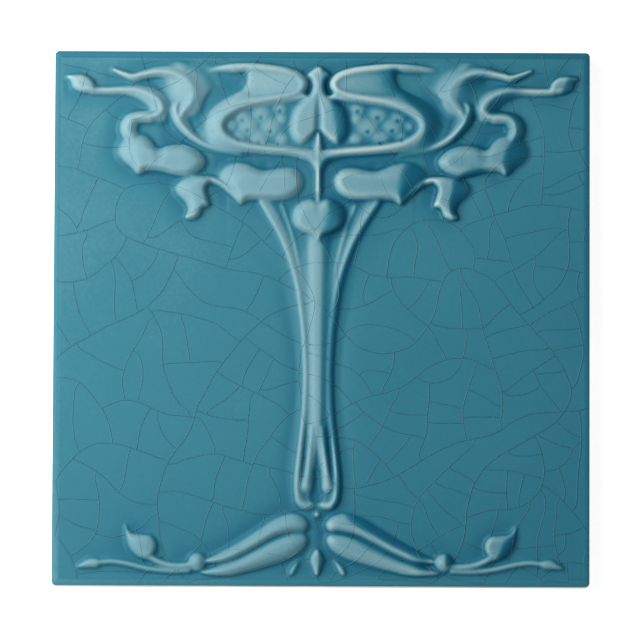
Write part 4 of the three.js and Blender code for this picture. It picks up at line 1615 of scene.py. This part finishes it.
    def meshed(self, parts: MeshParts, face_normals: np.ndarray, depth: np.ndarray) -> bpy.types.Object:
        """Turn the collected points and faces into the tile.

        Args:
            parts: The collected mesh.
            face_normals: The relief's normals, at the first of the points.
            depth: The glaze's depth at each point, with its painted shade and painted highlights.

        Returns:
            The tile.
        """
        mesh = bpy.data.meshes.new("glazed_tile")
        mesh.from_pydata((parts.all_points() * MM).tolist(), [], np.concatenate(parts.faces).tolist())
        mesh.polygons.foreach_set("material_index", np.concatenate(parts.bare).astype(np.int32))
        glaze = mesh.attributes.new(GLAZE_DEPTH_AND_PAINTED_LIGHT, "FLOAT", "POINT")
        glaze.data.foreach_set("value", depth.astype(np.float32))
        mesh.update()
        smooth = np.array([vertex.normal[:] for vertex in mesh.vertices])
        smooth[: len(face_normals)] = face_normals
        corners = np.zeros(len(mesh.loops), np.int32)
        mesh.loops.foreach_get("vertex_index", corners)
        flat = np.repeat(np.array([polygon.normal[:] for polygon in mesh.polygons]), 3, axis=0)
        bare = np.repeat(np.concatenate(parts.bare), 3)[:, None]
        mesh.polygons.foreach_set("use_smooth", [True] * len(mesh.polygons))
        mesh.normals_split_custom_set(np.where(bare, flat, smooth[corners]).tolist())
        tile = bpy.data.objects.new("glazed_tile", mesh)
        bpy.context.scene.collection.objects.link(tile)
        log.info("glazed_tile: %d triangles", len(mesh.polygons))
        return tile

    def side_rings(self) -> list[np.ndarray]:
        """Lay rings from the back's edge up over the rounded edge of the face.

        Returns:
            The rings, from the lowest up.
        """
        spacing = (self.side - 2 * self.edge_width) / self.face_steps
        rings = [self.ring(self.back_chamfer, 0.0), self.ring(0.0, self.back_chamfer)]
        for k in range(self.arc_steps + 1):
            turn = k / self.arc_steps * math.pi / 2
            inset = (self.edge_width - spacing) * (1 - math.cos(turn))
            rings.append(self.ring(inset, self.thickness - self.edge_drop * (1 - math.sin(turn))))
        return rings

    def dress(self, tile: bpy.types.Object) -> None:
        """Give the tile its glaze and its bare body."""
        tile.data.materials.append(GlazeFinish().material("blue_green_glaze"))
        tile.data.materials.append(BiscuitFinish().material("fired_biscuit"))


# The crazing

@dataclass
class Crazing:
    """The net of hairlines in the glaze: each crack grows until it runs into an older one.

    Sizes are in millimetres and turns in radians.
    """

    half: float
    seed: int = 11
    long_cracks: int = 7
    most_cracks: int = 420
    tries: int = 220
    step: float = 0.7
    most_steps: int = 400
    free_steps: int = 3
    first_bend: float = 0.035
    bend_kept: float = 0.93
    bend_change: float = 0.012
    wobble: float = 0.045
    meeting: float = 0.75
    pull_reach: float = 2.4
    pull: float = 0.25
    start_span: float = 0.8
    full_from: float = 0.8
    coarse_cell: float = 7.2
    fine_cell: float = 3.2
    finer_right: float = 0.35
    finer_foot: float = 0.15
    width: float = 0.24
    thinnest: float = 0.45
    swell: float = 0.25
    swell_turn: float = 0.35
    bulge: float = 0.15
    sink: float = 0.10
    spacing: float = 0.9
    ray_height: float = 30.0
    ray_length: float = 50.0
    merge_within: float = 0.0001
    cracks: list[np.ndarray] = field(default_factory=list)

    def cell(self, x: float, y: float) -> float:
        """Tell how far a place may be from the nearest crack; the net is finer at the right and the foot.

        Args:
            x: The place's x.
            y: The place's y.

        Returns:
            The distance.
        """
        share = 0.5 + self.finer_right * x / self.half - self.finer_foot * y / self.half
        return self.coarse_cell + (self.fine_cell - self.coarse_cell) * min(max(share, 0.0), 1.0)

    def grown(self, start: tuple[float, float], heading: float, dice: random.Random) -> np.ndarray:
        """Grow a crack from a place until it meets an older crack or the rim.

        Args:
            start: Where it starts.
            heading: Its direction.
            dice: The source of its wander.

        Returns:
            Its points.
        """
        older = np.vstack(self.cracks) if self.cracks else np.zeros((0, 2))
        x, y = start
        line = [(x, y)]
        bend = dice.gauss(0, self.first_bend)
        for count in range(self.most_steps):
            bend = self.bend_kept * bend + dice.gauss(0, self.bend_change)
            heading += bend + dice.gauss(0, self.wobble)
            x += self.step * math.cos(heading)
            y += self.step * math.sin(heading)
            line.append((x, y))
            if max(abs(x), abs(y)) > self.half:
                break
            if count < self.free_steps or not len(older):
                continue
            gaps = np.hypot(older[:, 0] - x, older[:, 1] - y)
            nearest = int(gaps.argmin())
            if gaps[nearest] < self.step * self.meeting:
                line[-1] = (float(older[nearest, 0]), float(older[nearest, 1]))
                break
            if gaps[nearest] < self.pull_reach:
                towards = math.atan2(older[nearest, 1] - y, older[nearest, 0] - x)
                turn = (towards - heading + math.pi) % (2 * math.pi) - math.pi
                if abs(turn) < math.pi / 2:
                    heading += self.pull * turn
        return np.clip(np.array(line), -self.half, self.half)

    def grow(self) -> None:
        """Grow the whole net: the long cracks first, then one through the widest gap at a time."""
        dice = random.Random(self.seed)
        span = self.start_span
        for _ in range(self.long_cracks):
            start = (dice.uniform(-span, span) * self.half, dice.uniform(-span, span) * self.half)
            heading = dice.uniform(0, 2 * math.pi)
            there = self.grown(start, heading, dice)
            back = self.grown(start, heading + math.pi, dice)
            self.cracks.append(np.vstack([back[::-1], there[1:]]))
        for _ in range(self.most_cracks):
            older = np.vstack(self.cracks)
            tries = [
                (dice.uniform(-1, 1) * self.half, dice.uniform(-1, 1) * self.half) for _ in range(self.tries)
            ]
            gaps = [np.hypot(older[:, 0] - x, older[:, 1] - y) for x, y in tries]
            shares = [float(gap.min()) / self.cell(*place) for gap, place in zip(gaps, tries)]
            best = max(range(len(tries)), key=shares.__getitem__)
            if shares[best] < self.full_from:
                break
            x, y = tries[best]
            root = older[int(gaps[best].argmin())]
            heading = math.atan2(y - root[1], x - root[0])
            self.cracks.append(self.grown((float(root[0]), float(root[1])), heading, dice))

    def drawn(self) -> bpy.types.Object:
        """Draw the net as a level mesh of edges, with each crack's own width.

        Returns:
            The net.
        """
        dice = random.Random(self.seed + 1)
        points: list[tuple[float, float, float]] = []
        edges: list[tuple[int, int]] = []
        widths: list[float] = []
        for line in self.cracks:
            first = len(points)
            own = dice.uniform(self.thinnest, 1.0)
            points += [(x * MM, y * MM, 0.0) for x, y in line]
            edges += [(k, k + 1) for k in range(first, len(points) - 1)]
            swells = (math.sin(self.swell_turn * k + first) for k in range(len(line)))
            widths += [own * (1 - self.swell + self.swell * swell) for swell in swells]
        mesh = bpy.data.meshes.new("craze_lines")
        mesh.from_pydata(points, edges, [])
        mesh.attributes.new(LINE_WIDTH, "FLOAT", "POINT").data.foreach_set("value", widths)
        net = bpy.data.objects.new("craze_lines", mesh)
        bpy.context.scene.collection.objects.link(net)
        return net

    @staticmethod
    def stored(bench: Bench, name: str) -> Value:
        """Read a number that the geometry stores under a name."""
        return bench.node("GeometryNodeInputNamedAttribute", {"data_type": "FLOAT"}, {"Name": name})[0]

    def on_glaze(self, bench: Bench, lines: Value, tile: Value, spacing: Value) -> Value:
        """Lay level lines on the tile's glaze.

        Args:
            bench: The node tree being built.
            lines: The net of edges.
            tile: The glazed tile.
            spacing: Distance between a line's points.

        Returns:
            The lines, as curves that carry the glaze's depth with its painted shade and highlights, and lean
            with its surface.
        """
        curve = bench.node("GeometryNodeMeshToCurve", {}, {0: lines})[0]
        sampled = {"Curve": curve, "Length": spacing}
        even = bench.node("GeometryNodeResampleCurve", {"mode": "LENGTH"}, sampled)[0]
        target = bench.node("GeometryNodeObjectInfo", {"transform_space": "ORIGINAL"}, {"Object": tile})[-1]
        place = bench.node("GeometryNodeInputPosition", {}, {})[0]
        lift = (0.0, 0.0, self.ray_height * MM)
        above = bench.node("ShaderNodeVectorMath", {"operation": "ADD"}, {0: place, 1: lift})[0]
        depth = self.stored(bench, GLAZE_DEPTH_AND_PAINTED_LIGHT)
        ray = bench.node("GeometryNodeRaycast", {"data_type": "FLOAT", "mapping": "INTERPOLATED"}, {
            "Target Geometry": target, "Attribute": depth, "Source Position": above,
            "Ray Direction": (0.0, 0.0, -1.0), "Ray Length": self.ray_length * MM,
        })
        _, hit, normal, _, found = ray
        kept = bench.node("GeometryNodeStoreNamedAttribute", {"data_type": "FLOAT", "domain": "POINT"}, {
            "Geometry": even, "Name": GLAZE_DEPTH_AND_PAINTED_LIGHT, "Value": found,
        })[0]
        upright = {"Curve": kept, "Normal": normal}
        leaning = bench.node("GeometryNodeSetCurveNormal", {"mode": "FREE"}, upright)[0]
        return bench.node("GeometryNodeSetPosition", {}, {"Geometry": leaning, "Position": hit})[0]

    @staticmethod
    def section(bench: Bench, width: Value, bulge: Value, sink: Value) -> Value:
        """Draw a hairline's section: a low ridge with its base sunk into the glaze.

        Args:
            bench: The node tree being built.
            width: The widest line's width.
            bulge: Height of its crown above the glaze.
            sink: Depth of its base in the glaze.

        Returns:
            The section, as a closed curve.
        """
        half, low = width * 0.5, sink * -1.0
        crown = bench.node("ShaderNodeCombineXYZ", {}, {1: bulge})[0]
        right = bench.node("ShaderNodeCombineXYZ", {}, {0: half, 1: low})[0]
        left = bench.node("ShaderNodeCombineXYZ", {}, {0: half * -1.0, 1: low})[0]
        points = {"Point 1": crown, "Point 2": left, "Point 3": right, "Point 4": crown}
        return bench.node("GeometryNodeCurvePrimitiveQuadrilateral", {"mode": "POINTS"}, points)[0]

    def tree(self) -> bpy.types.NodeTree:
        """Build the node tree that lays the lines on the glaze and gives them a section.

        Returns:
            The tree, with a named input for each size.
        """
        tree = bpy.data.node_groups.new("craze_on_glaze", "GeometryNodeTree")
        kinds = {
            "Lines": "Geometry", "Glazed tile": "Object", "Spacing": "Float", "Width": "Float",
            "Bulge": "Float", "Sink": "Float", "Finish": "Material",
        }
        for name, kind in kinds.items():
            tree.interface.new_socket(name, in_out="INPUT", socket_type=f"NodeSocket{kind}")
        tree.interface.new_socket("Lines", in_out="OUTPUT", socket_type="NodeSocketGeometry")
        bench = Bench(tree)
        given = bench.node("NodeGroupInput", {}, {})
        lines, tile, spacing, width, bulge, sink, finish = given[: len(kinds)]
        laid = self.on_glaze(bench, lines, tile, spacing)
        radius = {"Curve": laid, "Radius": self.stored(bench, LINE_WIDTH)}
        sized = bench.node("GeometryNodeSetCurveRadius", {}, radius)[0]
        profile = self.section(bench, width, bulge, sink)
        swept = {"Curve": sized, "Profile Curve": profile, "Fill Caps": True}
        solid = bench.node("GeometryNodeCurveToMesh", {}, swept)[0]
        merging = {"Geometry": solid, "Distance": self.merge_within * MM}
        merged = bench.node("GeometryNodeMergeByDistance", {}, merging)[0]
        real = bench.node("GeometryNodeRealizeInstances", {}, {"Geometry": merged})[0]
        dressed = bench.node("GeometryNodeSetMaterial", {}, {"Geometry": real, "Material": finish})[0]
        bench.node("NodeGroupOutput", {}, {0: dressed})
        return tree

    def build(self, tile: bpy.types.Object) -> bpy.types.Object:
        """Lay the net on the tile.

        Args:
            tile: The glazed tile.

        Returns:
            The hairlines, as a plain mesh.
        """
        self.grow()
        net = self.drawn()
        tree = self.tree()
        modifier = net.modifiers.new("craze_on_glaze", "NODES")
        modifier.node_group = tree
        values = {
            "Glazed tile": tile, "Spacing": self.spacing * MM, "Width": self.width * MM,
            "Bulge": self.bulge * MM, "Sink": self.sink * MM, "Finish": CrazeFinish().material("craze_stain"),
        }
        for socket in tree.interface.items_tree:
            if socket.in_out == "INPUT" and socket.name in values:
                modifier[socket.identifier] = values[socket.name]
        evaluated = net.evaluated_get(bpy.context.evaluated_depsgraph_get())
        laid = bpy.data.meshes.new_from_object(evaluated)
        net.modifiers.remove(modifier)
        net.data = laid
        laid.name = "craze_lines"
        log.info("craze_lines: %d cracks, %d faces", len(self.cracks), len(laid.polygons))
        return net


# The room

@dataclass(frozen=True)
class Studio:
    """The pale floor, the soft light and the camera that looks down on the tile; sizes in metres."""

    side: float
    top: float
    frame_pixels: float = 644.0
    tile_pixels: float = 536.5
    centre_pixel: tuple[float, float] = (321.5, 318.0)
    tilt: float = math.radians(5.0)
    roll: float = math.radians(0.24)
    distance: float = 1.9
    sensor_mm: float = 36.0
    farthest: float = 20.0
    floor_reach: float = 3.0
    floor_white: tuple[float, ...] = (0.95, 0.95, 0.95, 1.0)
    floor_roughness: float = 0.9
    floor_glow: float = 0.62
    key_place: tuple[float, float, float] = (-0.27, 0.07, 0.29)
    key_size: float = 0.4
    key_watts: float = 2.35
    room_colour: tuple[float, ...] = (0.9, 0.95, 1.0, 1.0)
    room_strength: float = 0.42

    def floor(self) -> bpy.types.Object:
        """Lay the pale floor.

        Returns:
            The floor.
        """
        mesh = bpy.data.meshes.new("floor")
        reach = self.floor_reach
        corners = [(-reach, -reach, 0), (reach, -reach, 0), (reach, reach, 0), (-reach, reach, 0)]
        mesh.from_pydata(corners, [], [(0, 1, 2, 3)])
        floor = bpy.data.objects.new("floor", mesh)
        bpy.context.scene.collection.objects.link(floor)
        mesh.materials.append(MaterialBench("pale_floor").surface({
            "Base Color": self.floor_white,
            "Roughness": self.floor_roughness,
            "Emission Color": self.floor_white,
            "Emission Strength": self.floor_glow,
        }))
        return floor

    def key(self) -> None:
        """Hang the soft square light at the left that faces the tile."""
        data = bpy.data.lights.new("key", "AREA")
        data.shape = "SQUARE"
        data.size = self.key_size
        data.energy = self.key_watts
        lamp = bpy.data.objects.new("key", data)
        lamp.location = self.key_place
        lamp.rotation_euler = (-Vector(self.key_place)).to_track_quat("-Z", "Y").to_euler()
        bpy.context.scene.collection.objects.link(lamp)

    def room(self) -> None:
        """Fill the room with an even light that leaves no gloss on the glaze."""
        world = bpy.data.worlds.new("room")
        world.use_nodes = True
        colour, strength = world.node_tree.nodes["Background"].inputs[:2]
        colour.default_value = self.room_colour
        strength.default_value = self.room_strength
        world.cycles_visibility.glossy = False
        bpy.context.scene.world = world

    def camera(self) -> None:
        """Set the camera at the photograph's view: nearly straight down, with a hair of roll."""
        data = bpy.data.cameras.new("camera")
        camera = bpy.data.objects.new("camera", data)
        pixel = self.side / self.tile_pixels
        data.sensor_width = self.sensor_mm
        data.lens = data.sensor_width * self.distance / (pixel * self.frame_pixels)
        data.clip_end = self.farthest
        middle = self.frame_pixels / 2
        data.shift_x = (middle - self.centre_pixel[0]) / self.frame_pixels
        data.shift_y = (self.centre_pixel[1] - middle) / self.frame_pixels
        away = Vector((0, -math.sin(self.tilt), math.cos(self.tilt))) * self.distance
        camera.location = Vector((0, 0, self.top)) + away
        aim = (-away).to_track_quat("-Z", "Y").to_matrix()
        roll = Matrix.Rotation(self.roll, 3, Vector((0, 0, 1)))
        camera.rotation_euler = (aim @ roll).to_euler()
        bpy.context.scene.collection.objects.link(camera)
        bpy.context.scene.camera = camera


def main() -> None:
    """Build the tile and its room around the frame."""
    logging.basicConfig(level=logging.INFO, format="%(name)s: %(message)s")
    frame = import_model()
    bpy.context.scene.view_settings.view_transform = "Standard"
    low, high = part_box("tile")
    side = (high[0] - low[0]) / MM
    glazed = GlazedTile(side=side, thickness=BODY_THICKNESS, ornament=Ornament())
    tile = glazed.build()
    glazed.dress(tile)
    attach(tile, "root")
    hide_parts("tile")
    hairlines = Crazing(half=side / 2 - CRAZE_MARGIN).build(tile)
    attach(hairlines, "root")
    studio = Studio(side=side * MM, top=BODY_THICKNESS * MM)
    studio.floor()
    studio.key()
    studio.room()
    studio.camera()
    log.info("built around %d node(s)", len(frame["nodes"]))


if __name__ == "__main__":
    main()
